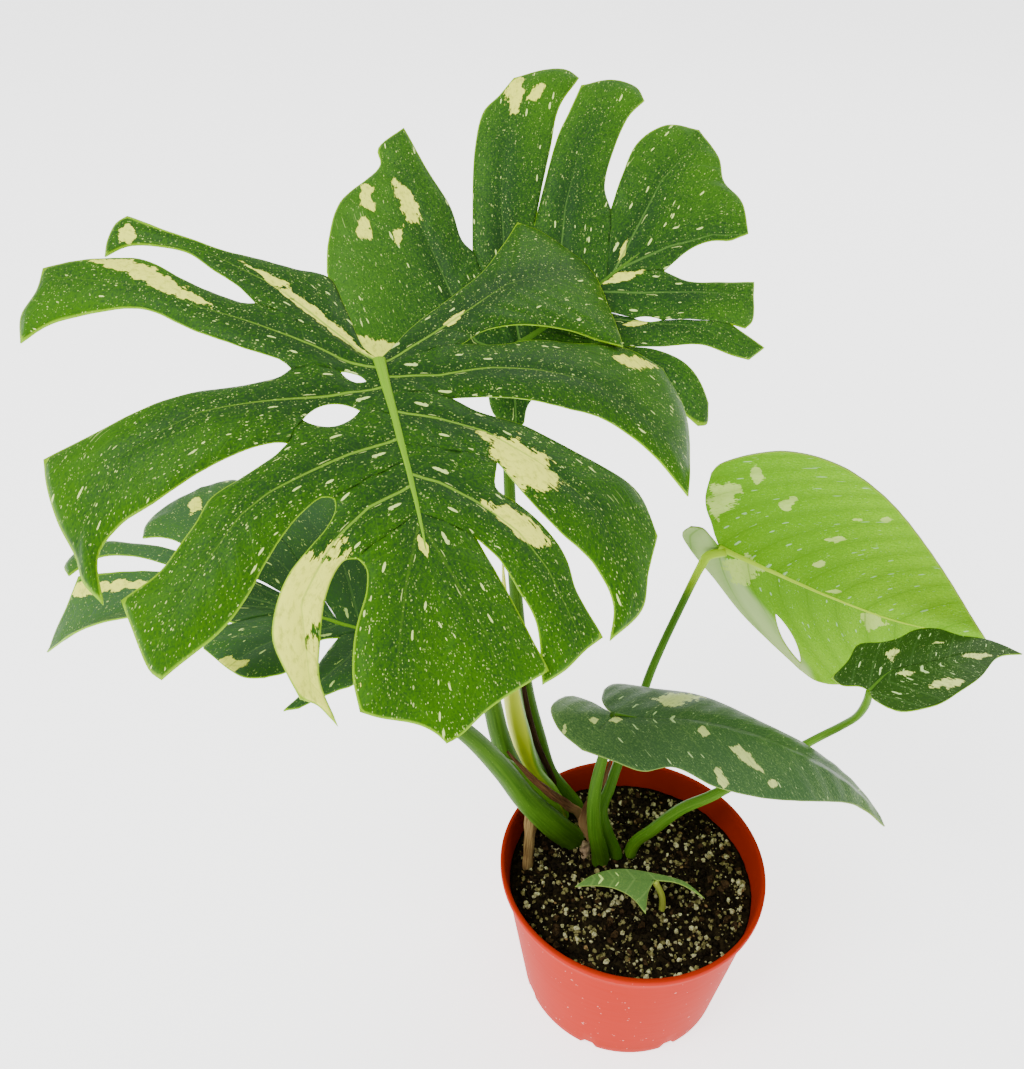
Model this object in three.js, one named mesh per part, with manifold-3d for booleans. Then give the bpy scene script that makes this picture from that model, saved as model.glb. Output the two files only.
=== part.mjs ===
// A split-leaf monstera with variegated leaves, growing in a round nursery pot.
// Millimetres, +Z up. The origin is the middle of the pot's underside, on the surface it stands on.
// The front of the plant faces -Y, and +X is to its right.
import * as THREE from "three";
import { mergeVertices } from "three/addons/utils/BufferGeometryUtils.js";
import Module from "manifold-3d";

const wasm = await Module();
wasm.setup();

// ---- Driving dimensions ----
const POT_HEIGHT = 108;
const POT_RIM_RADIUS = 82.5;
const POT_BASE_RADIUS = 65;
const POT_WALL = 1.5;
const POT_FLOOR = 2;
const ROUND_SIDES = 40; // faces round the pot and the soil
const RIM_BAND = 5.5; // height of the rolled rim
const RIM_PROUD = 1.8; // how far the rim stands out of the wall
const DRAIN_NOTCHES = 8;
const NOTCH_WIDTH = 14;
const NOTCH_HEIGHT = 2.4;
const NOTCH_DEPTH = 5;
const NOTCH_PROUD = 1.5; // how far the notch cutter stands out of the base's edge
const NOTCH_RISE = 1.7; // height of a notch over the surface


const SOIL_LEVEL = 89;
const SOIL_RINGS = 8;
const SOCKET_SIDES = 14;
const SEAT_GAP = 0.3; // between two pieces that rest on each other
const SOCKET_GAP = 0.6; // round a stalk, in its hole in the soil
const FOOT_LEVEL = 76; // lower end of every stalk, inside the soil
const STRAIGHT_LEVEL = 92; // stalks stand upright in the soil up to here

const BLADE = 0.9; // thickness of a leaf blade
const STALK_SIDES = 8;
const END = Infinity; // the far end of a midrib

const radians = THREE.MathUtils.degToRad;

// ---- Materials ----
function finish(colour, roughness) {
  return new THREE.MeshStandardMaterial({ color: colour, roughness, metalness: 0 });
}

const DEEP_GREEN = 0x2f6b1e;
const PALE_GREEN = 0x96be50;
const STALK_GREEN = 0x4e8a34;
const SPEAR_YELLOW = 0xc3c65a;
const DRY_BROWN = 0x8a6238;
const ROOT_BEIGE = 0xb59a66;
const POT_CORAL = 0xd76450;
const SOIL_BLACK = 0x1d1712;

const PLASTIC_ROUGHNESS = 0.45;
const SOIL_ROUGHNESS = 0.95;
const BLADE_ROUGHNESS = 0.38;
const STALK_ROUGHNESS = 0.4;

// ---- Closed bodies ----
// Leaves one vertex for each corner, drops triangles without area, and turns the faces outward.
function closedBody(geometry) {
  const bare = new THREE.BufferGeometry();
  bare.setAttribute("position", geometry.getAttribute("position"));
  bare.setIndex(geometry.index);
  const merged = mergeVertices(bare, 1e-3);
  const corners = [];
  const index = merged.index.array;
  for (let i = 0; i < index.length; i += 3) {
    const [a, b, c] = [index[i], index[i + 1], index[i + 2]];
    if (a !== b && b !== c && c !== a) corners.push([a, b, c]);
  }
  if (signedVolume(merged, corners) < 0) corners.forEach((corner) => corner.reverse());
  merged.setIndex(corners.flat());
  return merged;
}

function signedVolume(geometry, corners) {
  const position = geometry.getAttribute("position");
  const [a, b, c] = [new THREE.Vector3(), new THREE.Vector3(), new THREE.Vector3()];
  let sum = 0;
  for (const corner of corners) {
    a.fromBufferAttribute(position, corner[0]);
    b.fromBufferAttribute(position, corner[1]);
    c.fromBufferAttribute(position, corner[2]);
    sum += a.dot(b.cross(c));
  }
  return sum / 6;
}

function toSolid(geometry) {
  const body = closedBody(geometry);
  const vertProperties = new Float32Array(body.getAttribute("position").array);
  const triVerts = new Uint32Array(body.index.array);
  return new wasm.Manifold(new wasm.Mesh({ numProp: 3, vertProperties, triVerts }));
}

function fromSolid(solid) {
  const mesh = solid.getMesh();
  const geometry = new THREE.BufferGeometry();
  geometry.setAttribute("position", new THREE.BufferAttribute(mesh.vertProperties, 3));
  geometry.setIndex(new THREE.BufferAttribute(mesh.triVerts, 1));
  return geometry;
}

function fromFaces(points, faces) {
  const geometry = new THREE.BufferGeometry().setFromPoints(points);
  geometry.setIndex(faces.flat());
  return closedBody(geometry);
}

function named(name, geometry, material) {
  geometry.computeVertexNormals();
  const mesh = new THREE.Mesh(geometry, material);
  mesh.name = name;
  return mesh;
}

// ---- Pot ----
// Radius of the tapered wall at a height: its outside face and its inside face.
function wallOuter(z) {
  const top = POT_RIM_RADIUS - RIM_PROUD;
  return POT_BASE_RADIUS + ((top - POT_BASE_RADIUS) * z) / POT_HEIGHT;
}

function wallInner(z) {
  return wallOuter(z) - POT_WALL;
}

// Turns a profile of [radius, height] about the upright axis.
function turned(profile) {
  const points = profile.map(([radius, z]) => new THREE.Vector2(radius, z));
  return new THREE.LatheGeometry(points, ROUND_SIDES).rotateX(Math.PI / 2);
}

function potProfile() {
  const band = POT_HEIGHT - RIM_BAND;
  const inner = wallInner(POT_HEIGHT);
  return [
    [0, 0],
    [POT_BASE_RADIUS - 3, 0],
    [POT_BASE_RADIUS - 1, 0.6],
    [wallOuter(3), 3],
    [wallOuter(band), band],
    [POT_RIM_RADIUS - 0.4, band + 0.6],
    [POT_RIM_RADIUS, band + 2],
    [POT_RIM_RADIUS, POT_HEIGHT - 1.6],
    [POT_RIM_RADIUS - 0.9, POT_HEIGHT - 0.3],
    [inner + 0.8, POT_HEIGHT],
    [inner, POT_HEIGHT - 1.2],
    [wallInner(POT_FLOOR), POT_FLOOR],
    [0, POT_FLOOR],
  ];
}

// Drain notches: shallow gaps under the edge of the base, between the feet the pot stands on.
function drainNotch(turn) {
  const notch = new THREE.BoxGeometry(NOTCH_DEPTH, NOTCH_WIDTH, NOTCH_HEIGHT);
  const reach = POT_BASE_RADIUS + NOTCH_PROUD - NOTCH_DEPTH / 2;
  notch.translate(reach, 0, NOTCH_RISE - NOTCH_HEIGHT / 2);
  return toSolid(notch.rotateZ(turn));
}

function makePot() {
  let pot = toSolid(turned(potProfile()));
  for (let i = 0; i < DRAIN_NOTCHES; i++) {
    const turn = ((i + 0.5) * 2 * Math.PI) / DRAIN_NOTCHES;
    pot = pot.subtract(drainNotch(turn));
  }
  return named("pot", fromSolid(pot), finish(POT_CORAL, PLASTIC_ROUGHNESS));
}

// ---- Soil ----
// The top is lumpy, a little higher round the stalks, and dies out level at the pot's wall.
function soilHeight(x, y) {
  const reach = Math.hypot(x, y) / wallInner(SOIL_LEVEL);
  const fade = 1 - Math.min(1, reach) ** 4;
  const lumps = 1.3 * Math.sin(x / 9 + 0.7) * Math.cos(y / 8) + 0.8 * Math.sin((x - y) / 5.2);
  const mound = 2.2 * Math.exp(-((x + 25) ** 2 + (y - 22) ** 2) / 900);
  return SOIL_LEVEL + fade * (lumps + mound);
}

function soilBlock() {
  const top = wallInner(SOIL_LEVEL) - SEAT_GAP;
  const bottom = POT_FLOOR + SEAT_GAP;
  const profile = [
    [0, bottom],
    [wallInner(bottom) - SEAT_GAP, bottom],
  ];
  for (let ring = SOIL_RINGS; ring >= 0; ring--) {
    profile.push([(top * ring) / SOIL_RINGS, SOIL_LEVEL]);
  }
  const block = turned(profile);
  const position = block.getAttribute("position");
  for (let i = 0; i < position.count; i++) {
    const onTop = position.getZ(i) > SOIL_LEVEL / 2;
    if (onTop) position.setZ(i, soilHeight(position.getX(i), position.getY(i)));
  }
  return toSolid(block);
}

// A plain round hole for what stands in the soil.
function socket([x, y], radius) {
  const bottom = FOOT_LEVEL - SEAT_GAP;
  const depth = POT_HEIGHT - bottom;
  const wide = radius + SOCKET_GAP;
  const bore = new THREE.CylinderGeometry(wide, wide, depth, SOCKET_SIDES);
  bore.rotateX(Math.PI / 2).translate(x, y, bottom + depth / 2);
  return toSolid(bore);
}

function makeSoil(standing) {
  let soil = soilBlock();
  for (const { foot, radii } of standing) soil = soil.subtract(socket(foot, radii[0]));
  return named("potting_soil", fromSolid(soil), finish(SOIL_BLACK, SOIL_ROUGHNESS));
}

// ---- Leaf surface ----
// A blade is drawn flat, as [u, v]: u runs along the midrib from the stalk, v across it, to the
// left of someone who looks along the midrib from the stalk. The flat outline is then bent:
// arched along the midrib, folded at it and cupped across it, and set at its place on the stalk.
// `turn` is heading, pitch and roll in degrees; `arch` and `cup` are degrees in each 100 mm,
// with a second arch for what lies behind the stalk; fold and cup are [left half, right half].
// `keel` is how much thicker the blade is under its midrib, at the stalk; it dies out at the tip.
// `columns` are stations along the midrib, each with its number of columns up to there. `rows` are
// those from the midrib to the bottom of a split, and from there out to the edge.
function leafAxes([heading, pitch, roll]) {
  const [h, p, r] = [radians(heading), radians(pitch), radians(roll)];
  const along = new THREE.Vector3(Math.cos(h) * Math.cos(p), Math.sin(h) * Math.cos(p), Math.sin(p));
  const level = new THREE.Vector3(-Math.sin(h), Math.cos(h), 0);
  const upright = new THREE.Vector3().crossVectors(along, level);
  const across = level.clone().multiplyScalar(Math.cos(r)).addScaledVector(upright, Math.sin(r));
  const normal = new THREE.Vector3().crossVectors(along, across);
  return { along, across, normal };
}

// Run and rise of an arc of this length, which starts at a slope and bends down by so much a mm.
function arc(length, bend, slope) {
  if (Math.abs(bend) < 1e-7) return [length * Math.cos(slope), length * Math.sin(slope)];
  const end = slope - bend * length;
  return [(Math.sin(slope) - Math.sin(end)) / bend, (Math.cos(end) - Math.cos(slope)) / bend];
}

function bentPoint(leaf, [u, v], droop) {
  const { along, across, normal } = leaf.axes;
  const bend = radians(leaf.arch[u >= 0 ? 0 : 1]) / 100;
  const half = v >= 0 ? 0 : 1;
  const [run, rise] = arc(Math.abs(u), bend, 0);
  const [reach, lift] = arc(Math.abs(v), radians(leaf.cup[half]) / 100, radians(leaf.fold[half]));
  const point = new THREE.Vector3(...leaf.at);
  point.addScaledVector(along, Math.sign(u) * run + lift * Math.sin(bend * u));
  point.addScaledVector(across, Math.sign(v) * reach);
  point.addScaledVector(normal, rise + lift * Math.cos(bend * u));
  point.z -= droop;
  return point;
}

// ---- Leaf outline to grid ----
// Each lobe is a grid of columns across it and rows from the midrib out to its end. A lobe shares
// the seam, from the midrib to the bottom of the split, with its neighbour. The seam is closed,
// but for a lens-shaped hole where the leaf has one. `up` is the lobe's edge nearer to the stalk,
// from the bottom of the split to the corner, `end` runs on from there to the lobe's tip, and
// `low` is the other edge, from its split to the same tip. A basal lobe's `up` starts at the
// stalk. A lobe with no `low` ends at the leaf's tip. `sag` lowers the corner and the tip, in mm.
// A lobe with a `fan` spreads that many columns from the stalk's end alone.
function spaced(points, steps) {
  const curve = new THREE.CatmullRomCurve3(points.map(([u, v]) => new THREE.Vector3(u, v, 0)));
  return curve.getSpacedPoints(steps).map((point) => [point.x, point.y]);
}

function straight([u0, v0], [u1, v1], steps) {
  const at = (i) => [u0 + ((u1 - u0) * i) / steps, v0 + ((v1 - v0) * i) / steps];
  return Array.from({ length: steps + 1 }, (_, i) => at(i));
}

function ribOf(leaf) {
  const curve = new THREE.CatmullRomCurve3(leaf.rib.map(([u, v]) => new THREE.Vector3(u, v, 0)));
  const length = curve.getLength();
  const point = (station) => {
    const found = curve.getPointAt(Math.min(1, station / length));
    return [found.x, found.y];
  };
  const stations = [0];
  for (const [station, columns] of leaf.columns) {
    const from = stations.at(-1);
    const to = Math.min(station, length);
    for (let i = 1; i <= columns; i++) stations.push(from + ((to - from) * i) / columns);
  }
  return { length, point, stations };
}

// The seam's rows. `side` of the hole is -1 on the lobe before it and +1 on the lobe after it.
function seamRows(leaf, lobe, station, bottom, after) {
  const start = leaf.spine.point(station);
  const hole = (leaf.holes || []).find((it) => it.half === lobe.half && it.seam === station);
  if (!hole) return straight(start, bottom, leaf.rows[0]);
  const [[u0, v0], [u1, v1]] = [hole.from, hole.to];
  const length = Math.hypot(u1 - u0, v1 - v0);
  const push = (after * lobe.half * hole.width) / 2 / length;
  const lens = [1, 2].map((i) => [
    u0 + ((u1 - u0) * i) / 3 + (v1 - v0) * push,
    v0 + ((v1 - v0) * i) / 3 - (u1 - u0) * push,
  ]);
  return [start, hole.from, ...lens, hole.to, bottom];
}

// One edge of a lobe: its points, and how far each is out along the free edge, from 0 to 1.
function edgeRows(leaf, lobe, station, edge, after) {
  const [seamSteps, freeSteps] = leaf.rows;
  const all = seamSteps + freeSteps;
  const fromStalk = station === 0;
  if (fromStalk) return { points: spaced(edge, all), out: (i) => i / all };
  const seam = seamRows(leaf, lobe, station, edge[0], after);
  const free = freeSteps ? spaced(edge, freeSteps) : [edge[0]];
  const out = (i) => (i > seamSteps ? (i - seamSteps) / freeSteps : 0);
  return { points: [...seam, ...free.slice(1)], out };
}

// The far edge of a lobe that ends at the leaf's tip is the midrib beyond the last column.
function ribRows(leaf, last) {
  const all = leaf.rows[0] + leaf.rows[1];
  const beyond = (leaf.spine.length - last) / all;
  const points = Array.from({ length: all + 1 }, (_, i) => leaf.spine.point(last + beyond * i));
  return { points, out: (i) => i / all, keel: (i) => last + beyond * i };
}

function lobeGrid(leaf, lobe) {
  const { spine } = leaf;
  const last = spine.stations.at(-1);
  const to = Math.min(lobe.to, last);
  const inside = lobe.fan
    ? Array(lobe.fan + 1).fill(lobe.from)
    : spine.stations.filter((it) => it > lobe.from - 1e-6 && it < to + 1e-6);
  const columns = inside.length - 1;
  const rows = leaf.rows[0] + leaf.rows[1];
  const up = edgeRows(leaf, lobe, lobe.from, lobe.up, 1);
  const low = lobe.low ? edgeRows(leaf, lobe, to, lobe.low, -1) : ribRows(leaf, last);
  const inner = inside.map((station) => spine.point(station));
  const outer = spaced(lobe.end, columns);
  const [sagCorner, sagTip] = lobe.sag || [0, 0];
  const grid = [];
  for (let c = 0; c <= columns; c++) {
    const s = c / columns;
    const column = [];
    for (let r = 0; r <= rows; r++) {
      const t = r / rows;
      const flat = [0, 1].map(
        (k) =>
          (1 - s) * up.points[r][k] + s * low.points[r][k] + (1 - t) * inner[c][k] + t * outer[c][k] -
          (1 - s) * ((1 - t) * inner[0][k] + t * outer[0][k]) -
          s * ((1 - t) * inner[columns][k] + t * outer[columns][k]),
      );
      const out = (1 - s) * up.out(r) + s * low.out(r);
      const droop = out * out * ((1 - s) * sagCorner + s * sagTip);
      const onRib = r === 0 || (c === columns && low.keel !== undefined);
      const station = r === 0 ? inside[c] : onRib ? low.keel(r) : 0;
      const keel = onRib ? leaf.keel * (1 - station / spine.length) : 0;
      column.push({ point: bentPoint(leaf, flat, droop), keel });
    }
    grid.push(column);
  }
  return grid;
}

// ---- Leaf blade ----
// Joins the lobes' grids into one skin, with one vertex wherever two lobes meet.
function leafSkin(leaf) {
  const points = [];
  const keels = [];
  const faces = [];
  const found = new Map();
  const vertex = ({ point, keel }) => {
    const key = [point.x, point.y, point.z].map((value) => Math.round(value * 50)).join();
    if (!found.has(key)) {
      found.set(key, points.length);
      points.push(point);
      keels.push(keel);
    }
    return found.get(key);
  };
  const face = (corners, half) => {
    const [a, b, c] = half > 0 ? corners : corners.reverse();
    if (a !== b && b !== c && c !== a) faces.push([a, b, c]);
  };
  for (const lobe of leaf.lobes) {
    const ids = lobeGrid(leaf, lobe).map((column) => column.map(vertex));
    for (let c = 0; c + 1 < ids.length; c++) {
      for (let r = 0; r + 1 < ids[c].length; r++) {
        face([ids[c][r], ids[c + 1][r], ids[c + 1][r + 1]], lobe.half);
        face([ids[c][r], ids[c + 1][r + 1], ids[c][r + 1]], lobe.half);
      }
    }
  }
  return { points, keels, faces };
}

function skinNormals(points, faces) {
  const normals = points.map(() => new THREE.Vector3());
  const [edge, other] = [new THREE.Vector3(), new THREE.Vector3()];
  for (const [a, b, c] of faces) {
    edge.subVectors(points[b], points[a]);
    other.subVectors(points[c], points[a]);
    const area = edge.clone().cross(other);
    for (const corner of [a, b, c]) normals[corner].add(area);
  }
  return normals.map((normal) => normal.normalize());
}

// Gives the skin its thickness, with the same triangles above and below and a wall at each edge.
function thickened({ points, keels, faces }) {
  const normals = skinNormals(points, faces);
  const above = points.map((point, i) => point.clone().addScaledVector(normals[i], BLADE / 2));
  const below = points.map((point, i) =>
    point.clone().addScaledVector(normals[i], -BLADE / 2 - keels[i]),
  );
  const shift = points.length;
  const all = [...faces, ...faces.map(([a, b, c]) => [c + shift, b + shift, a + shift])];
  const sides = new Set();
  for (const [a, b, c] of faces) [[a, b], [b, c], [c, a]].forEach((it) => sides.add(it.join()));
  for (const [a, b, c] of faces) {
    for (const [from, to] of [[a, b], [b, c], [c, a]]) {
      if (sides.has([to, from].join())) continue;
      all.push([to, from, from + shift], [to, from + shift, to + shift]);
    }
  }
  return fromFaces([...above, ...below], all);
}

function makeLeaf(leaf) {
  return named(leaf.name, thickened(leafSkin(leaf)), finish(leaf.colour, BLADE_ROUGHNESS));
}

function prepared(leaf) {
  const whole = { ...leaf, axes: leafAxes(leaf.turn) };
  whole.spine = ribOf(whole);
  return whole;
}

// ---- The seven leaves ----
const LEAF_FRONT = prepared({
  name: "leaf_front",
  colour: DEEP_GREEN,
  at: [-139, 15, 439],
  turn: [-76, -22, -6],
  arch: [9, -4],
  fold: [4, 4],
  cup: [17, 19],
  keel: 2.4,
  rib: [[0, 0], [46, 3], [76, 5], [109, 6], [142, 6], [178, 3]],
  columns: [[5, 4], [12, 3], [19, 2], [32, 2], [48, 3], [57, 2], [82, 4], [100, 3]],
  rows: [5, 7],
  holes: [
    { half: -1, seam: 12, from: [12, -7], to: [5, -18], width: 4.5 },
    { half: -1, seam: 32, from: [28, -12], to: [31, -37], width: 12 },
  ],
  lobes: [
    {
      half: -1, from: 0, to: 5, sag: [3, 10],
      up: [[0, 0], [-11, -6], [-36, -11], [-55, -16], [-60, -31], [-69, -48], [-77, -65], [-91, -83],
        [-110, -108]],
      end: [[-110, -108], [-110, -114], [-104, -119], [-97, -121]],
      low: [[-39, -51], [-53, -59], [-66, -70], [-82, -83], [-97, -108], [-97, -121]],
    },
    {
      half: -1, from: 5, to: 12, sag: [4, 14],
      up: [[-39, -51], [-40, -57], [-47, -67], [-61, -84], [-79, -102], [-85, -120], [-92, -151]],
      end: [[-92, -151], [-83, -155], [-76, -164], [-63, -165]],
      low: [[3, -39], [-3, -43], [-14, -60], [-26, -77], [-47, -98], [-55, -113], [-65, -150],
        [-63, -165]],
    },
    {
      half: -1, from: 12, to: 32, sag: [10, 30],
      up: [[3, -39], [7, -44], [9, -61], [8, -78], [9, -93], [15, -131], [16, -149]],
      end: [[16, -149], [28, -148], [43, -144], [58, -137], [67, -135], [77, -127]],
      low: [[43, -44], [42, -50], [44, -64], [48, -81], [54, -102], [55, -116], [61, -127],
        [77, -127]],
    },
    {
      half: -1, from: 32, to: 57, sag: [8, 18],
      up: [[43, -44], [49, -50], [57, -64], [64, -77], [73, -83], [82, -91], [90, -99], [97, -115]],
      end: [[97, -115], [106, -112], [122, -106], [125, -102]],
      low: [[72, -28], [71, -33], [77, -42], [84, -49], [94, -57], [107, -67], [116, -78],
        [125, -102]],
    },
    {
      half: -1, from: 57, to: 82, sag: [15, 28],
      up: [[72, -28], [77, -28], [84, -32], [92, -40], [101, -49], [111, -55], [123, -58],
        [133, -55], [143, -50]],
      end: [[143, -50], [142, -44], [144, -40], [146, -37]],
      low: [[100, -22], [100, -27], [105, -32], [114, -37], [124, -40], [135, -42], [146, -37]],
    },
    {
      half: -1, from: 82, to: END,
      up: [[100, -22], [104, -19], [114, -20], [130, -26], [148, -29], [162, -28]],
      end: [[162, -28], [165, -21], [169, -7], [174, 0], [178, 3]],
    },
    {
      half: 1, from: 0, to: 5,
      up: [[0, 0], [-12, 10], [-27, 24], [-43, 43], [-62, 62], [-82, 77], [-102, 90]],
      end: [[-102, 90], [-97, 107], [-78, 130], [-53, 135], [-24, 134]],
      low: [[-11, 41], [-20, 53], [-26, 73], [-29, 103], [-25, 120], [-24, 134]],
    },
    {
      half: 1, from: 5, to: 19, sag: [8, 24],
      up: [[-11, 41], [-12, 60], [-18, 80], [-22, 101], [-30, 136], [-30, 166]],
      end: [[-30, 166], [-13, 174], [24, 166], [42, 158]],
      low: [[22, 30], [21, 44], [20, 66], [20, 88], [19, 109], [26, 131], [42, 158]],
    },
    {
      half: 1, from: 19, to: 48, sag: [12, 22],
      up: [[22, 30], [30, 42], [36, 59], [44, 77], [52, 95], [63, 116], [82, 122]],
      end: [[82, 122], [99, 112], [115, 104], [126, 85]],
      low: [[58, 44], [64, 48], [75, 55], [89, 67], [100, 82], [114, 89], [126, 85]],
    },
    {
      half: 1, from: 48, to: 82, sag: [5, 10],
      up: [[58, 44], [71, 41], [79, 50], [91, 60], [104, 67], [118, 69], [138, 77]],
      end: [[138, 77], [142, 68], [148, 58], [152, 47]],
      low: [[94, 28], [104, 36], [117, 42], [130, 48], [152, 47]],
    },
    {
      half: 1, from: 82, to: END,
      up: [[94, 28], [112, 34], [131, 41], [154, 49]],
      end: [[154, 49], [160, 35], [167, 21], [176, 8], [178, 3]],
    },
  ],
});

const LEAF_BACK = prepared({
  name: "leaf_back",
  colour: DEEP_GREEN,
  at: [-83, 101, 404],
  turn: [28, 28, 43],
  arch: [2.9, 0],
  fold: [4, 0],
  cup: [9.6, 27],
  keel: 2.2,
  rib: [[0, 0], [29, -2], [66, -1], [109, 0], [138, 1], [152, -9], [151, -28]],
  columns: [[5, 5], [22, 5], [35, 2], [45, 2], [70, 3], [75, 1], [90, 3]],
  rows: [5, 6],
  holes: [{ half: -1, seam: 45, from: [69, -27], to: [82, -37], width: 3 }],
  lobes: [
    {
      half: 1, from: 0, to: 5,
      up: [[0, 0], [-13, -1], [-28, -5], [-50, 6], [-61, 34], [-63, 63], [-49, 96]],
      end: [[-49, 96], [-38, 110], [-19, 125], [12, 129], [17, 138], [36, 139]],
      low: [[21, 56], [20, 64], [27, 84], [31, 112], [36, 139]],
    },
    {
      half: 1, from: 5, to: 35,
      up: [[21, 56], [31, 69], [59, 103], [78, 119], [90, 121], [104, 125]],
      end: [[104, 125], [121, 118], [131, 110], [133, 102]],
      low: [[57, 47], [74, 62], [93, 78], [111, 93.5], [133, 102]],
    },
    {
      half: 1, from: 35, to: 70,
      up: [[57, 47], [72, 59], [101, 81], [115, 88.5], [131, 97.5]],
      end: [[131, 97.5], [147, 90], [155, 77], [153, 68]],
      low: [[97, 29], [102, 41], [121, 56], [140, 66], [153, 68]],
    },
    {
      half: 1, from: 70, to: END,
      up: [[97, 29], [115, 41], [135, 51], [155, 49], [167, 36]],
      end: [[167, 36], [166, 16], [160, 5], [160, -11], [151, -28]],
    },
    {
      half: -1, from: 0, to: 5,
      up: [[0, 0], [-12, -4], [-20, -11], [-25, -21], [-24, -30]],
      end: [[-24, -30], [-21, -36], [-15, -36]],
      low: [[0, -28], [-8, -30], [-15, -36]],
    },
    {
      half: -1, from: 5, to: 22,
      up: [[0, -28], [10, -31], [30, -43], [49, -57], [60, -65], [67, -72], [71, -80], [75, -87]],
      end: [[75, -87], [79, -91], [84, -84]],
      low: [[56, -37], [71, -49], [81, -62], [84, -73], [84, -84]],
    },
    {
      half: -1, from: 22, to: 45,
      up: [[56, -37], [72, -48], [92, -61], [104, -76], [112, -85]],
      end: [[112, -85], [124, -85]],
      low: [[114, -62], [118, -71], [124, -85]],
    },
    {
      half: -1, from: 45, to: 75,
      up: [[114, -62], [120, -69]],
      end: [[120, -69], [126, -68], [135, -56], [139, -51]],
      low: [[99, -16], [107, -29], [122, -40], [139, -51]],
    },
    {
      half: -1, from: 75, to: END,
      up: [[99, -16], [119, -15], [131, -18], [142, -25]],
      end: [[142, -25], [151, -28]],
    },
  ],
});

const LEAF_LEFT = prepared({
  name: "leaf_left",
  colour: DEEP_GREEN,
  at: [-146, -33, 318],
  turn: [169, 13, 0],
  arch: [18, 4],
  fold: [24, 18],
  cup: [30, 14],
  keel: 2,
  rib: [[0, 0], [60, -2], [120, 0], [160, 0], [185, 1]],
  columns: [[3, 3], [15, 3], [20, 3], [35, 3], [40, 2], [55, 3]],
  rows: [4, 6],
  lobes: [
    {
      half: -1, from: 0, to: 15,
      up: [[0, 0], [-4, -28], [11, -65], [39, -87], [69, -96]],
      end: [[69, -96], [86, -95], [100, -91]],
      low: [[86, -67], [93, -79], [100, -91]],
    },
    {
      half: -1, from: 15, to: 20,
      up: [[86, -67], [102, -87], [120, -81]],
      end: [[120, -81], [132, -67], [139, -51], [137, -41]],
      low: [[87, -23], [111, -35], [125, -40], [137, -41]],
    },
    {
      half: -1, from: 20, to: 40,
      up: [[87, -23], [112, -30], [138, -37], [160, -40], [171, -36]],
      end: [[171, -36], [177, -31], [178, -25], [172, -18]],
      low: [[74, -11.5], [90, -17.5], [113, -21], [141, -29], [157, -29], [172, -18]],
    },
    {
      half: -1, from: 40, to: END, sag: [0, 34],
      up: [[74, -11.5], [90, -14.5], [115, -17], [140, -17.5], [165, -17]],
      end: [[165, -17], [172, -13], [180, -8], [185, 1]],
    },
    {
      half: 1, from: 0, to: 3,
      up: [[0, 0], [-11, 13], [-6, 46], [-1, 53], [4, 60], [10, 70]],
      end: [[10, 70], [15, 74]],
      low: [[12, 10], [12, 22], [12, 41], [12, 62], [15, 74]],
    },
    {
      half: 1, from: 3, to: 35,
      up: [[12, 10], [18, 17], [20, 41], [23, 52], [29, 59]],
      end: [[29, 59], [36, 62], [47, 57], [61, 48]],
      low: [[58, 21], [63, 31], [61, 48]],
    },
    {
      half: 1, from: 35, to: END, sag: [20, 34],
      up: [[58, 21], [94, 15], [123, 12], [150, 11], [162, 10.5]],
      end: [[162, 10.5], [185, 1]],
    },
  ],
});

// Leaves without splits: each half is one lobe, but for the slit in the heart-shaped one.
const LEAF_RIGHT = prepared({
  name: "leaf_right",
  colour: PALE_GREEN,
  at: [49.5, 102.5, 276],
  turn: [-17, -14, -78],
  arch: [3.6, 0],
  fold: [6, 4],
  cup: [3.6, 11],
  keel: 1.8,
  rib: [[0, 0], [30, 2], [73, 3], [116, -2], [160, -18]],
  columns: [[20, 4], [END, 9]],
  rows: [5, 0],
  holes: [{ half: 1, seam: 20, from: [52, 40], to: [84, 78], width: 7 }],
  lobes: [
    {
      half: -1, from: 0, to: END,
      up: [[0, 0], [-9, -14], [-20, -32], [-24, -54]],
      end: [[-24, -54], [-15, -70], [8, -92], [33, -97], [64, -88], [100, -65], [135, -38],
        [160, -18]],
    },
    {
      half: 1, from: 0, to: 20,
      up: [[0, 0], [-7, -6], [-14, -10], [-21, -8]],
      end: [[-21, -8], [-24, 0], [-16, 11], [6, 30], [36, 56], [59, 70], [86, 85]],
      low: [[86, 85]],
    },
    {
      half: 1, from: 20, to: END,
      up: [[86, 85]],
      end: [[86, 85], [101, 89], [114, 81], [130, 56], [145, 19], [160, -18]],
    },
  ],
});

const LEAF_FAR = prepared({
  name: "leaf_far_right",
  colour: DEEP_GREEN,
  at: [123, 12, 243],
  turn: [12, 24, 0],
  arch: [36, 0],
  fold: [4, 4],
  cup: [16, 16],
  keel: 1.2,
  rib: [[0, 0], [18, 7], [39.5, 4.5], [63.5, 5], [95.5, 1]],
  columns: [[END, 12]],
  rows: [5, 0],
  lobes: [
    {
      half: 1, from: 0, to: END,
      up: [[0, 0], [-2.5, 5], [-11, 11.5], [-13.5, 19]],
      end: [[-13.5, 19], [0, 25], [10.5, 33], [23.5, 28.5], [33.5, 28], [44, 30.5], [57, 27.5],
        [66, 19.5], [79, 14.5], [95.5, 1]],
    },
    {
      half: -1, from: 0, to: END,
      up: [[0, 0], [-1, -5], [2.5, -14.5]],
      end: [[2.5, -14.5], [8, -21.5], [26.5, -25], [41.5, -21], [57.5, -14.5], [79, -0.5], [95.5, 1]],
    },
  ],
});

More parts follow.
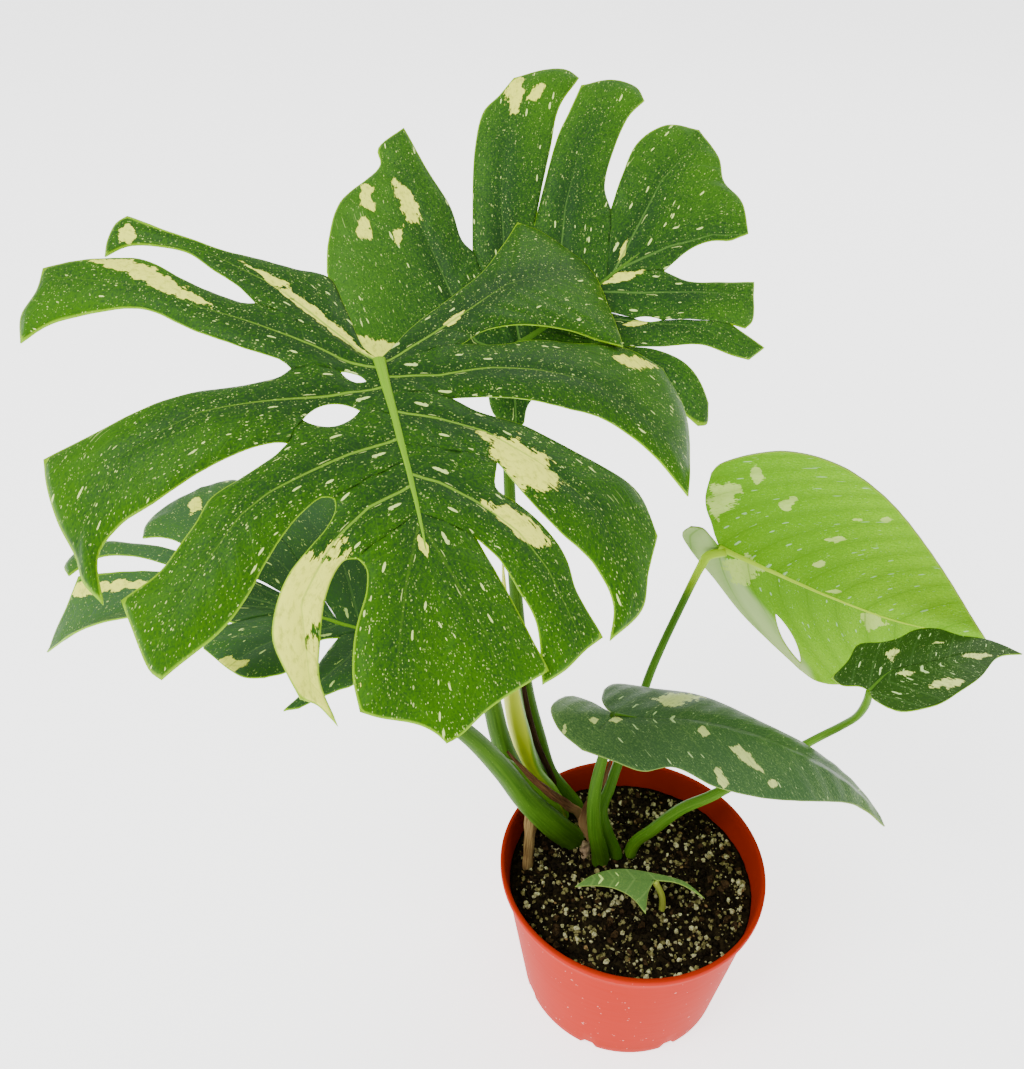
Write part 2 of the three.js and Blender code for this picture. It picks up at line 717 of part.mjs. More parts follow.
const LEAF_LOW = prepared({
  name: "leaf_low",
  colour: DEEP_GREEN,
  at: [-19, 4, 230],
  turn: [-5, 6, -5],
  arch: [30, 10],
  fold: [-8, -8],
  cup: [16, 20],
  keel: 1.6,
  rib: [[0, 0], [19, -1], [48, 3], [75, 5], [116, 7], [154, 7], [178, -5]],
  columns: [[END, 14]],
  rows: [6, 0],
  lobes: [
    {
      half: 1, from: 0, to: END,
      up: [[0, 0], [-5, 9], [-8, 19], [-7, 32]],
      end: [[-7, 32], [-2, 39], [20, 37], [45, 37], [71, 31], [103, 24], [140, 22], [165, 11],
        [178, -5]],
    },
    {
      half: -1, from: 0, to: 0, fan: 6,
      up: [[0, 0], [-7, 9], [-13, 16]],
      end: [[-13, 16], [-28, 26], [-37, 14], [-32, -8], [-18, -23]],
      low: [[0, 0], [-8, -11], [-18, -23]],
    },
    {
      half: -1, from: 0, to: END,
      up: [[0, 0], [-8, -11], [-18, -23]],
      end: [[-18, -23], [-2, -30], [15, -36], [33, -31], [56, -39], [77, -38], [107, -30],
        [153, -8], [178, -5]],
    },
  ],
});

const LEAF_FIRST = prepared({
  name: "leaf_first",
  colour: DEEP_GREEN,
  at: [11, -22, 117],
  turn: [176, -3, 0],
  arch: [12, 20],
  fold: [-4, -4],
  cup: [30, 30],
  keel: 0.6,
  rib: [[0, 0], [9, 0], [24, -1], [48, 5]],
  columns: [[END, 8]],
  rows: [4, 0],
  lobes: [
    {
      half: -1, from: 0, to: END,
      up: [[0, 0], [-14, 1], [-29.5, 9.5]],
      end: [[-29.5, 9.5], [-17.5, -0.5], [-0.5, -5], [20, -8], [35.5, -4], [48, 5]],
    },
    {
      half: 1, from: 0, to: END,
      up: [[0, 0], [4, 8], [6, 21.5]],
      end: [[6, 21.5], [14, 11.5], [24.5, 6], [35.5, 4.5], [48, 5]],
    },
  ],
});

const LEAVES = [LEAF_FRONT, LEAF_BACK, LEAF_LEFT, LEAF_RIGHT, LEAF_FAR, LEAF_LOW, LEAF_FIRST];

// ---- Stalks ----
// A point on or under a blade, measured along its midrib and down from its middle surface.
function seat(leaf, along, below) {
  const point = new THREE.Vector3(...leaf.at);
  point.addScaledVector(leaf.axes.along, along);
  return point.addScaledVector(leaf.axes.normal, -below).toArray();
}

// Everything that stands in the soil: `foot` is where, `radii` are at the foot, along the way and
// at the top, and `route` is the line it follows above the soil.
const STANDING = [
  {
    name: "stalk_front", colour: STALK_GREEN, foot: [-48, 40], radii: [5.5, 6.3, 5.5, 3.2], steps: 18,
    route: [[-53, 38, 111], [-68, 36, 134], [-78.5, 36, 158], [-84.5, 36, 181], [-88.5, 36, 204],
      [-104, 29, 290], [-128, 20, 390], seat(LEAF_FRONT, 0, 5)],
  },
  {
    name: "stalk_back", colour: STALK_GREEN, foot: [-31.5, 53.5], radii: [5, 4.6, 3.8, 3], steps: 20,
    route: [[-39, 57, 102], [-50, 61, 117], [-59, 65, 149], [-67, 70, 183], [-72, 76, 222],
      [-78, 88, 290], [-82, 104, 370], seat(LEAF_BACK, 0, 4.8)],
  },
  {
    name: "stalk_left", colour: STALK_GREEN, foot: [-36, 27], radii: [7.8, 8, 5, 3.2], steps: 16,
    route: [[-43, 23, 105], [-51, 19, 119], [-68, 12, 150], [-81, 6, 180], [-98.5, -2, 215],
      [-117, -14, 248], [-133, -26, 284], seat(LEAF_LEFT, 0, 3.5)],
  },
  {
    name: "stalk_right", colour: STALK_GREEN, foot: [-8, 16], radii: [4.3, 3.4, 2.8, 2.3], steps: 18,
    route: [[-14, 20.5, 107], [-18, 27, 121], [-13.5, 34, 134], [-9, 41, 147], [1, 54, 174],
      [11, 70, 203], [30, 90, 245], [39, 98, 264], [43, 101, 270], seat(LEAF_RIGHT, 5, 4.6)],
  },
  {
    name: "stalk_far_right", colour: STALK_GREEN, foot: [2, 18.5], radii: [4, 3.8, 2.6, 2],
    steps: 18,
    route: [[5, 19, 101], [14, 19, 112], [31, 20, 132], [49, 20, 145], [78, 24, 166],
      [106, 24, 192], [117, 20, 207], [122, 15, 220], [124, 13, 232], seat(LEAF_FAR, 0, 2.2)],
  },
  {
    name: "stalk_low", colour: STALK_GREEN, foot: [-18, 11.5], radii: [6, 4.4, 3.6, 2.8], steps: 12,
    route: [[-20, 9.5, 106], [-23, 8.5, 120], [-25.7, 8, 144], [-25.6, 7, 169], [-23, 6, 194],
      [-20.5, 5, 213], seat(LEAF_LOW, 0, 2.8)],
  },
  {
    name: "stalk_first", colour: SPEAR_YELLOW, foot: [18, -22.5], radii: [2.4, 2.2, 2, 1.8], steps: 6,
    route: [[16.5, -22.5, 103], seat(LEAF_FIRST, 0, 1.8)],
  },
  {
    name: "furled_leaf", colour: SPEAR_YELLOW, foot: [-40.5, 48], radii: [2.8, 5, 6.2, 1], steps: 16,
    route: [[-48, 49.5, 110], [-63, 51, 133], [-71, 52, 165], [-76, 54, 192], [-80, 58, 240],
      [-83, 61, 292]],
  },
  {
    name: "dry_sheath_left", colour: DRY_BROWN, foot: [-26.5, 38], radii: [2.2, 1.8, 1.6, 0.8],
    steps: 12,
    route: [[-33, 34, 112], [-42, 25, 129], [-51, 19, 145], [-60, 14, 161], [-71, 8.5, 181],
      [-79, 6.5, 196]],
  },
  {
    name: "dry_sheath_middle", colour: DRY_BROWN, foot: [-22.5, 20], radii: [1.6, 1.8, 2.4, 0.8],
    steps: 12,
    route: [[-27, 21.5, 108], [-30, 22, 118], [-28, 19, 137], [-21.5, 15.5, 156], [-19, 14, 171],
      [-17.3, 14, 184]],
  },
  {
    name: "crown_stub", colour: DRY_BROWN, foot: [-27.5, 17], radii: [3.2, 3.4, 3.2, 1.8], steps: 4,
    route: [[-28, 17.5, 101]],
  },
  {
    name: "root_stub", colour: ROOT_BEIGE, foot: [-65, 8], radii: [3, 3.2, 3.8, 4.2], steps: 6,
    route: [[-63, 26, 121]],
  },
];

// Radius at a share of the way up, from the four given ones.
function radiusAt(radii, share) {
  const place = share * (radii.length - 1);
  const before = Math.min(radii.length - 2, Math.floor(place));
  return THREE.MathUtils.lerp(radii[before], radii[before + 1], place - before);
}

// The lines that each ring of a tube lies on, turned as little as possible from ring to ring.
function ringAxes(centres) {
  const along = centres.map((_, i) => {
    const [before, after] = [Math.max(0, i - 1), Math.min(centres.length - 1, i + 1)];
    return centres[after].clone().sub(centres[before]).normalize();
  });
  const right = new THREE.Vector3(1, 0, 0);
  const turn = new THREE.Quaternion();
  return along.map((axis, i) => {
    right.applyQuaternion(turn.setFromUnitVectors(along[Math.max(0, i - 1)], axis));
    return [right.clone(), new THREE.Vector3().crossVectors(axis, right)];
  });
}

function taperedTube(centres, radii) {
  const axes = ringAxes(centres);
  const rings = centres.length - 1;
  const points = [];
  const faces = [];
  centres.forEach((centre, i) => {
    const radius = radiusAt(radii, i / rings);
    for (let k = 0; k < STALK_SIDES; k++) {
      const angle = (2 * Math.PI * k) / STALK_SIDES;
      const point = centre.clone().addScaledVector(axes[i][0], radius * Math.cos(angle));
      points.push(point.addScaledVector(axes[i][1], radius * Math.sin(angle)));
    }
  });
  for (let i = 0; i < rings; i++) {
    for (let k = 0; k < STALK_SIDES; k++) {
      const [a, b] = [i * STALK_SIDES + k, i * STALK_SIDES + ((k + 1) % STALK_SIDES)];
      faces.push([a, b, b + STALK_SIDES], [a, b + STALK_SIDES, a + STALK_SIDES]);
    }
  }
  const top = rings * STALK_SIDES;
  for (let k = 1; k + 1 < STALK_SIDES; k++) {
    faces.push([0, k + 1, k], [top, top + k, top + k + 1]);
  }
  return fromFaces(points, faces);
}

function makeStanding({ name, colour, foot: [x, y], radii, route, steps }) {
  const corners = [[x, y, STRAIGHT_LEVEL], ...route].map((point) => new THREE.Vector3(...point));
  const risen = new THREE.CatmullRomCurve3(corners).getSpacedPoints(steps - 1);
  const centres = [new THREE.Vector3(x, y, FOOT_LEVEL), ...risen];
  return named(name, taperedTube(centres, radii), finish(colour, STALK_ROUGHNESS));
}

// ---- The whole plant ----
const plant = new THREE.Group();
plant.add(makePot(), makeSoil(STANDING));
for (const leaf of LEAVES) plant.add(makeLeaf(leaf));
for (const stalk of STANDING) plant.add(makeStanding(stalk));

export default plant;
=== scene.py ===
"""A variegated split-leaf monstera in a round nursery pot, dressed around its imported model."""
import math
import random

import bmesh
import bpy
import numpy as np
from mathutils import Matrix, Vector, noise


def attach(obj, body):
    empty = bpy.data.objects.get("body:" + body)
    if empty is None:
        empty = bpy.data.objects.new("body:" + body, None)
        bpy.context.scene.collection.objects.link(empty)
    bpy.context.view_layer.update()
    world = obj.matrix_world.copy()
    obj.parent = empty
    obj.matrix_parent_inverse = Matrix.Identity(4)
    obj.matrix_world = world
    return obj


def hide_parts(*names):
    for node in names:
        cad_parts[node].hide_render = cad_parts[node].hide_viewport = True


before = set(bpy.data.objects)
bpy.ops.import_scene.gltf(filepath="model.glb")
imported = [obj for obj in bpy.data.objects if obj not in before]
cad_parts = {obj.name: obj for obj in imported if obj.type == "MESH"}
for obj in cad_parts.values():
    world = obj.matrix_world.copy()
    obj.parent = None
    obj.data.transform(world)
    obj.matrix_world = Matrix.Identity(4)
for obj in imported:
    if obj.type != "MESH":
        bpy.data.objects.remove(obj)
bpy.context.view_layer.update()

MM = 0.001
UV_SPAN = 100.0          # millimetres of blade or stalk to one unit of its UV maps


# ---- Short calls for the nodes of a finish ----
class Finish:
    """One material and short calls for the nodes that it is made of."""

    def __init__(self, name):
        self.material = bpy.data.materials.new(name)
        self.material.use_nodes = True
        self.tree = self.material.node_tree
        self.shader = self.tree.nodes["Principled BSDF"]

    def node(self, kind, values, **settings):
        node = self.tree.nodes.new("ShaderNode" + kind)
        for key, value in settings.items():
            setattr(node, key, value)
        for key, value in values.items():
            self.put(node.inputs[key], value)
        return node

    def put(self, socket, value):
        if isinstance(value, bpy.types.NodeSocket):
            self.tree.links.new(value, socket)
        elif isinstance(value, tuple) and len(value) == 3 and socket.type == "RGBA":
            socket.default_value = (*value, 1)
        else:
            socket.default_value = value

    def math(self, operation, first, second=0.0, third=0.0):
        return self.node("Math", {0: first, 1: second, 2: third}, operation=operation).outputs[0]

    def plus(self, first, second):
        return self.math("ADD", first, second)

    def minus(self, first, second):
        return self.math("SUBTRACT", first, second)

    def times(self, first, second):
        return self.math("MULTIPLY", first, second)

    def scaled(self, value, factor, start):
        """The value times the factor, and the start added."""
        return self.math("MULTIPLY_ADD", value, factor, start)

    def vector(self, operation, *inputs):
        node = self.node("VectorMath", dict(enumerate(inputs)), operation=operation)
        return node.outputs["Value" if operation in ("DISTANCE", "LENGTH") else "Vector"]

    def rise(self, value, low, high):
        """0 below low, 1 above high and smooth between them."""
        values = {"Value": value, "From Min": low, "From Max": high, "To Min": 0.0, "To Max": 1.0}
        return self.node("MapRange", values, interpolation_type="SMOOTHSTEP").outputs["Result"]

    def fall(self, value, low, high):
        """1 below low, 0 above high and smooth between them."""
        return self.minus(1.0, self.rise(value, low, high))

    def mix(self, share, first, second):
        node = self.node("Mix", {"Factor": share}, data_type="RGBA")
        self.put(node.inputs[6], first)
        self.put(node.inputs[7], second)
        return node.outputs[2]

    def uv(self, name):
        return self.node("UVMap", {}, uv_map=name).outputs["UV"]

    def attribute(self, name):
        return self.node("Attribute", {}, attribute_name=name).outputs["Fac"]

    def place(self):
        return self.node("TexCoord", {}).outputs["Object"]

    def split(self, vector):
        return self.node("SeparateXYZ", {"Vector": vector}).outputs

    def stretched(self, vector, scale, shift=(0, 0, 0)):
        values = {"Vector": vector, "Scale": scale, "Location": shift}
        return self.node("Mapping", values).outputs["Vector"]

    def noise(self, vector, scale, detail=2.0, rough=0.5):
        values = {"Vector": vector, "Scale": scale, "Detail": detail, "Roughness": rough}
        return self.node("TexNoise", values).outputs["Fac"]

    def streaks(self, grain, along, across, detail=2.0, rough=0.5):
        """Noise drawn out along a grain: its scale along it and across it."""
        return self.noise(self.stretched(grain, (along, across, 1)), 1.0, detail, rough)

    def bump(self, height, strength, distance):
        values = {"Height": height, "Strength": strength, "Distance": distance}
        return self.node("Bump", values).outputs["Normal"]

    def done(self, **sockets):
        for key, value in sockets.items():
            self.put(self.shader.inputs[key.replace("_", " ")], value)
        return self.material


def between(first, second, share):
    """A colour that has the given share of the first one."""
    return tuple(share * a + (1 - share) * b for a, b in zip(first, second))


# ---- Mesh helpers ----
def finished(name, bm, materials, smooth=True):
    mesh = bpy.data.meshes.new(name)
    for face in bm.faces:
        face.smooth = smooth
    bm.to_mesh(mesh)
    bm.free()
    for material in materials:
        mesh.materials.append(material)
    piece = bpy.data.objects.new(name, mesh)
    bpy.context.scene.collection.objects.link(piece)
    return piece


def settle(piece, slot, *nodes):
    """Puts a piece on the plant's one body, in place of the CAD nodes that it stands for; slot is not used.
    """
    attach(piece, "root")
    if nodes:
        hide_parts(*nodes)


def extruded(bm, edges):
    """Extrudes a row of edges and gives the new vertices."""
    made = bmesh.ops.extrude_edge_only(bm, edges=edges)["geom"]
    return [it for it in made if isinstance(it, bmesh.types.BMVert)]


def open_edges(bm):
    return [edge for edge in bm.edges if edge.is_boundary]


# ---- Camera, light and floor ----
IMAGE_HEIGHT = 1069
FOCAL_PIXELS = 1000      # the focal length, counted in the image's pixels
SENSOR = 36
CAMERA_PLACE = (-0.078, -0.400, 0.631)
CAMERA_DIP = 34.7        # degrees below level
CAMERA_ROLL = 0.8
KEY_LIGHT = dict(place=(-1.9, -1.2, 3.1), aim=(-0.05, 0, 0.3), size=2.0, power=125)
BACK_LIGHT = dict(place=(1.7, 1.9, 2.8), aim=(0, 0, 0.35), size=2.2, power=38)
ROOM_LIGHT = 0.80
FLOOR_HALF = 15          # metres from the middle of the floor to its sides
FLOOR_GLOW = 2.2


def add_camera():
    data = bpy.data.cameras.new("camera")
    data.sensor_width = SENSOR
    data.lens = SENSOR * FOCAL_PIXELS / IMAGE_HEIGHT
    data.clip_start = 0.02
    data.clip_end = 60
    camera = bpy.data.objects.new("camera", data)
    camera.matrix_world = (
        Matrix.Translation(CAMERA_PLACE)
        @ Matrix.Rotation(math.radians(90 - CAMERA_DIP), 4, "X")
        @ Matrix.Rotation(math.radians(CAMERA_ROLL), 4, "Z")
    )
    bpy.context.scene.collection.objects.link(camera)
    bpy.context.scene.camera = camera


def add_area_light(name, place, aim, size, power):
    data = bpy.data.lights.new(name, "AREA")
    data.shape = "DISK"
    data.size = size
    data.energy = power
    lamp = bpy.data.objects.new(name, data)
    lamp.location = place
    lamp.rotation_euler = (Vector(aim) - Vector(place)).to_track_quat("-Z", "Y").to_euler()
    bpy.context.scene.collection.objects.link(lamp)


def floor_finish():
    finish = Finish("pale_floor")
    soft = finish.noise(finish.place(), 3.0)
    tone = finish.mix(soft, (0.93, 0.93, 0.93), (0.95, 0.95, 0.95))
    return finish.done(Base_Color=tone, Roughness=0.9, Emission_Color=(1.0, 1.0, 1.0),
                       Emission_Strength=FLOOR_GLOW)


def add_studio():
    add_area_light("key_light", **KEY_LIGHT)
    add_area_light("back_light", **BACK_LIGHT)
    world = bpy.data.worlds.new("studio")
    world.use_nodes = True
    sky = world.node_tree.nodes["Background"].inputs
    sky["Color"].default_value = (1, 1, 1, 1)
    sky["Strength"].default_value = ROOM_LIGHT
    bpy.context.scene.world = world
    bm = bmesh.new()
    bmesh.ops.create_grid(bm, x_segments=1, y_segments=1, size=FLOOR_HALF)
    finished("floor", bm, [floor_finish()])


# ---- Lines and outlines ----


def smooth_line(points, steps):
    """Evenly spaced points on a smooth curve through the given ones."""
    given = np.array(points, float)
    if len(given) == 1:
        return np.repeat(given, steps + 1, axis=0)
    ends = np.vstack([2 * given[0] - given[1], given, 2 * given[-1] - given[-2]])
    share = np.linspace(0, 1, 17)[:, None]
    line = [given[:1]]
    for p0, p1, p2, p3 in zip(ends, ends[1:], ends[2:], ends[3:]):
        gaps = [max(1e-4, np.linalg.norm(b - a) ** 0.5) for a, b in ((p0, p1), (p1, p2), (p2, p3))]
        start = ((p1 - p0) / gaps[0] - (p2 - p0) / (gaps[0] + gaps[1])) * gaps[1] + (p2 - p1)
        stop = ((p3 - p2) / gaps[2] - (p3 - p1) / (gaps[1] + gaps[2])) * gaps[1] + (p2 - p1)
        square, cube = share ** 2, share ** 3
        piece = (
            (2 * cube - 3 * square + 1) * p1 + (cube - 2 * square + share) * start
            + (3 * square - 2 * cube) * p2 + (cube - square) * stop
        )
        line.append(piece[1:])
    line = np.vstack(line)
    lengths = np.concatenate([[0], np.cumsum(np.linalg.norm(np.diff(line, axis=0), axis=1))])
    wanted = np.linspace(0, lengths[-1], steps + 1)
    return np.stack([np.interp(wanted, lengths, line[:, k]) for k in range(line.shape[1])], 1)


def straight(start, stop, steps):
    return np.array(start) + np.linspace(0, 1, steps + 1)[:, None] * (np.array(stop) - np.array(start))

def nearest_on(line, points):
    """For each point: its signed distance from the line and how far along the line it lies."""
    line, points = np.array(line, float), np.asarray(points, float)
    best = np.full(points.shape[:-1], 1e9)
    across, along = best.copy(), best.copy()
    done = 0.0
    last = len(line) - 2
    for i, (a, b) in enumerate(zip(line, line[1:])):
        length = np.linalg.norm(b - a)
        way = (b - a) / length
        run = (points - a) @ way
        kept = np.clip(run, -1e9 if i == 0 else 0, 1e9 if i == last else length)
        off = points - (a + kept[..., None] * way)
        gap = np.linalg.norm(off, axis=-1)
        side = np.sign(way[0] * (points - a)[..., 1] - way[1] * (points - a)[..., 0])
        nearer = gap < best
        best = np.where(nearer, gap, best)
        across = np.where(nearer, gap * side, across)
        along = np.where(nearer, done + kept, along)
        done += length
    return across, along


def edge_gap(line, points):
    """Distance of each point from a line that doesn't go on beyond its ends."""
    best = np.full(points.shape[:-1], 1e9)
    for a, b in zip(line, line[1:]):
        length = max(1e-6, np.linalg.norm(b - a))
        way = (b - a) / length
        run = np.clip((points - a) @ way, 0, length)
        best = np.minimum(best, np.linalg.norm(points - (a + run[..., None] * way), axis=-1))
    return best


def inside_by(outline, points):
    """How far each point lies inside a closed outline: below zero outside it."""
    ring = np.array([*outline, outline[0]], float)
    gap = edge_gap(ring, points)
    inside = np.zeros(points.shape[:-1], bool)
    for (x0, y0), (x1, y1) in zip(ring, ring[1:]):
        crosses = (y0 > points[..., 1]) != (y1 > points[..., 1])
        height = np.where(np.abs(y1 - y0) < 1e-9, 1e-9, y1 - y0)
        inside ^= crosses & (points[..., 0] < x0 + (points[..., 1] - y0) * (x1 - x0) / height)
    return np.where(inside, gap, -gap)


# ---- The leaves, flat: u along the midrib and v to its left, in millimetres ----
# at is the point of the blade where its stalk ends, and turn its heading, pitch and roll in degrees.
# arch bends it along the midrib and cup across it, in degrees to 100 mm, and fold tilts its halves, in
# degrees; each has a number for the positive side of u or v and one for the negative. rib_size is the
# midrib's thickness at its foot and tip, and rib_share how much of the line rib it follows.
# A lobe lies on one half, 1 where v is positive, between the stations start and stop of the midrib. up
# and low are its edges from the feet of the cuts outwards, and end joins their last points. vein is its
# side vein, and sag how far the outer ends of its two edges hang. fan and joined mark two lobes that
# share an edge without a cut. rows are the cells along a cut's seam and along a free edge, last is the
# station where the last lobe's inner edge stops, and a hole lies on a seam. cream lists cream patches;
# the other patch list is a painted sheen, grey-green where light glances off a blade that turns away.
END = math.inf

LEAF_FRONT = dict(
    name="leaf_front", at=(-139, 15, 439), turn=(-76, -22, -6), arch=(9, -4), fold=(4, 4),
    cup=(17, 19), rib=[(0, 0), (46, 3), (76, 5), (109, 6), (142, 6), (178, 3)],
    rib_size=(3.0, 0.25), rib_share=0.78, channel=0.6,
    last=100, rows=(25, 35),
    holes=[
        dict(half=-1, seam=12, start=(12, -7), stop=(5, -18), width=5),
        dict(half=-1, seam=32, start=(28, -12), stop=(31, -37), width=12.5),
    ],
    lobes=[
        dict(half=-1, start=0, stop=5, sag=(3, 10),
             up=[(0, 0), (-11, -6), (-36, -11), (-55, -16), (-60, -31), (-69, -48), (-77, -65),
                 (-91, -83), (-110, -108)],
             end=[(-110, -114), (-104, -119)],
             low=[(-39, -51), (-53, -59), (-66, -70), (-82, -83), (-97, -108), (-97, -121)],
             vein=[(0, -1), (-21, -20), (-48, -42), (-75, -70), (-91, -93)]),
        dict(half=-1, start=5, stop=12, sag=(4, 14),
             up=[(-39, -51), (-40, -57), (-47, -67), (-61, -84), (-79, -102), (-85, -120), (-92, -151)],
             end=[(-83, -155), (-76, -164)],
             low=[(3, -39), (-3, -43), (-14, -60), (-26, -77), (-47, -98), (-55, -113), (-65, -150),
                  (-63, -165)],
             vein=[(5, 0), (-2, -17), (-16, -38), (-39, -76), (-59, -98), (-77, -132)]),
        dict(half=-1, start=12, stop=32, sag=(10, 30),
             up=[(3, -39), (7, -44), (9, -61), (8, -78), (9, -93), (15, -131), (16, -149)],
             end=[(28, -148), (43, -144), (58, -137), (67, -135)],
             low=[(43, -44), (42, -50), (44, -64), (48, -81), (54, -102), (55, -116), (61, -127),
                  (77, -127)],
             vein=[(16, 1), (19, -24), (21, -45), (21, -79), (30, -114), (49, -131)]),
        dict(half=-1, start=32, stop=57, sag=(8, 18),
             up=[(43, -44), (49, -50), (57, -64), (64, -77), (73, -83), (82, -91), (90, -99),
                 (97, -115)],
             end=[(106, -112), (122, -106)],
             low=[(72, -28), (71, -33), (77, -42), (84, -49), (94, -57), (107, -67), (116, -78),
                  (125, -102)],
             vein=[(45, 2), (52, -20), (67, -54), (75, -66), (94, -83), (114, -101)]),
        dict(half=-1, start=57, stop=82, sag=(15, 28),
             up=[(72, -28), (77, -28), (84, -32), (92, -40), (101, -49), (111, -55), (123, -58),
                 (133, -55), (143, -50)],
             end=[(142, -44), (144, -40)],
             low=[(100, -22), (100, -27), (105, -32), (114, -37), (124, -40), (135, -42), (146, -37)],
             vein=[(69, 4), (78, -15), (91, -30), (112, -46), (135, -46)]),
        dict(half=-1, start=82, stop=END,
             up=[(100, -22), (104, -19), (114, -20), (130, -26), (148, -29), (162, -28)],
             end=[(165, -21), (169, -7), (174, 0)],
             vein=[(86, 5), (112, -4), (140, -11), (166, -14)], faint=0.15),
        dict(half=1, start=0, stop=5,
             up=[(0, 0), (-12, 10), (-27, 24), (-43, 43), (-62, 62), (-82, 77), (-102, 90)],
             end=[(-97, 107), (-78, 130), (-53, 135)],
             low=[(-11, 41), (-20, 53), (-26, 73), (-29, 103), (-25, 120), (-24, 134)],
             vein=[(1, 2), (-15, 26), (-33, 49), (-52, 72), (-68, 107)]),
        dict(half=1, start=5, stop=19, sag=(8, 24),
             up=[(-11, 41), (-12, 60), (-18, 80), (-22, 101), (-30, 136), (-30, 166)],
             end=[(-13, 174), (24, 166)],
             low=[(22, 30), (21, 44), (20, 66), (20, 88), (19, 109), (26, 131), (42, 158)],
             vein=[(10, 2), (10, 26), (5, 51), (3, 76), (3, 110), (15, 145)]),
        dict(half=1, start=19, stop=48, sag=(12, 22),
             up=[(22, 30), (30, 42), (36, 59), (44, 77), (52, 95), (63, 116), (82, 122)],
             end=[(99, 112), (115, 104)],
             low=[(58, 44), (64, 48), (75, 55), (89, 67), (100, 82), (114, 89), (126, 85)],
             vein=[(30, 2), (35, 22), (42, 41), (59, 66), (78, 89), (102, 97)]),
        dict(half=1, start=48, stop=82, sag=(5, 10),
             up=[(58, 44), (71, 41), (79, 50), (91, 60), (104, 67), (118, 69), (138, 77)],
             end=[(142, 68), (148, 58)],
             low=[(94, 28), (104, 36), (117, 42), (130, 48), (152, 47)],
             vein=[(63, 4), (68, 16), (79, 32), (93, 47), (110, 57), (131, 64)]),
        dict(half=1, start=82, stop=END,
             up=[(94, 28), (112, 34), (131, 41), (154, 49)],
             end=[(160, 35), (167, 21), (176, 8)],
             vein=[(86, 5), (112, 15), (136, 24), (160, 30)], faint=0.15),
    ],
    cream=[
        [(-86, -129), (-81, -112), (-72, -98), (-54, -84), (-38, -71), (-48, -85), (-65, -103),
         (-78, -117)],
        [(45, 40), (47, 54), (54, 65), (68, 73), (71, 61), (70, 52), (61, 46), (52, 43)],
        [(78, 32), (84, 49), (99, 62), (99, 50), (87, 39)],
        [(-18, 124), (-26, 146), (-28, 163), (-17, 143), (-15, 128)],
        [(-22, 33), (-29, 41), (-33, 47), (-25, 42), (-21, 36)],
        [(-1, -1), (-15, -17), (-33, -32), (-53, -46), (-46, -37), (-30, -23), (-13, -10)],
        [(-46, -33), (-57, -46), (-71, -60), (-60, -51), (-50, -42)],
        [(-105, -112), (-106, -108), (-99, -104), (-97, -108), (-100, -112)],
        [(91, 3), (98, 7), (103, 6), (98, 3)],
        [(93, -44), (99, -36), (94, -28), (105, -27), (113, -34), (118, -36), (121, -41), (124, -45),
         (128, -43), (129, -38), (151, -33), (146, -56), (128, -63), (111, -60), (100, -53)],
    ],
)

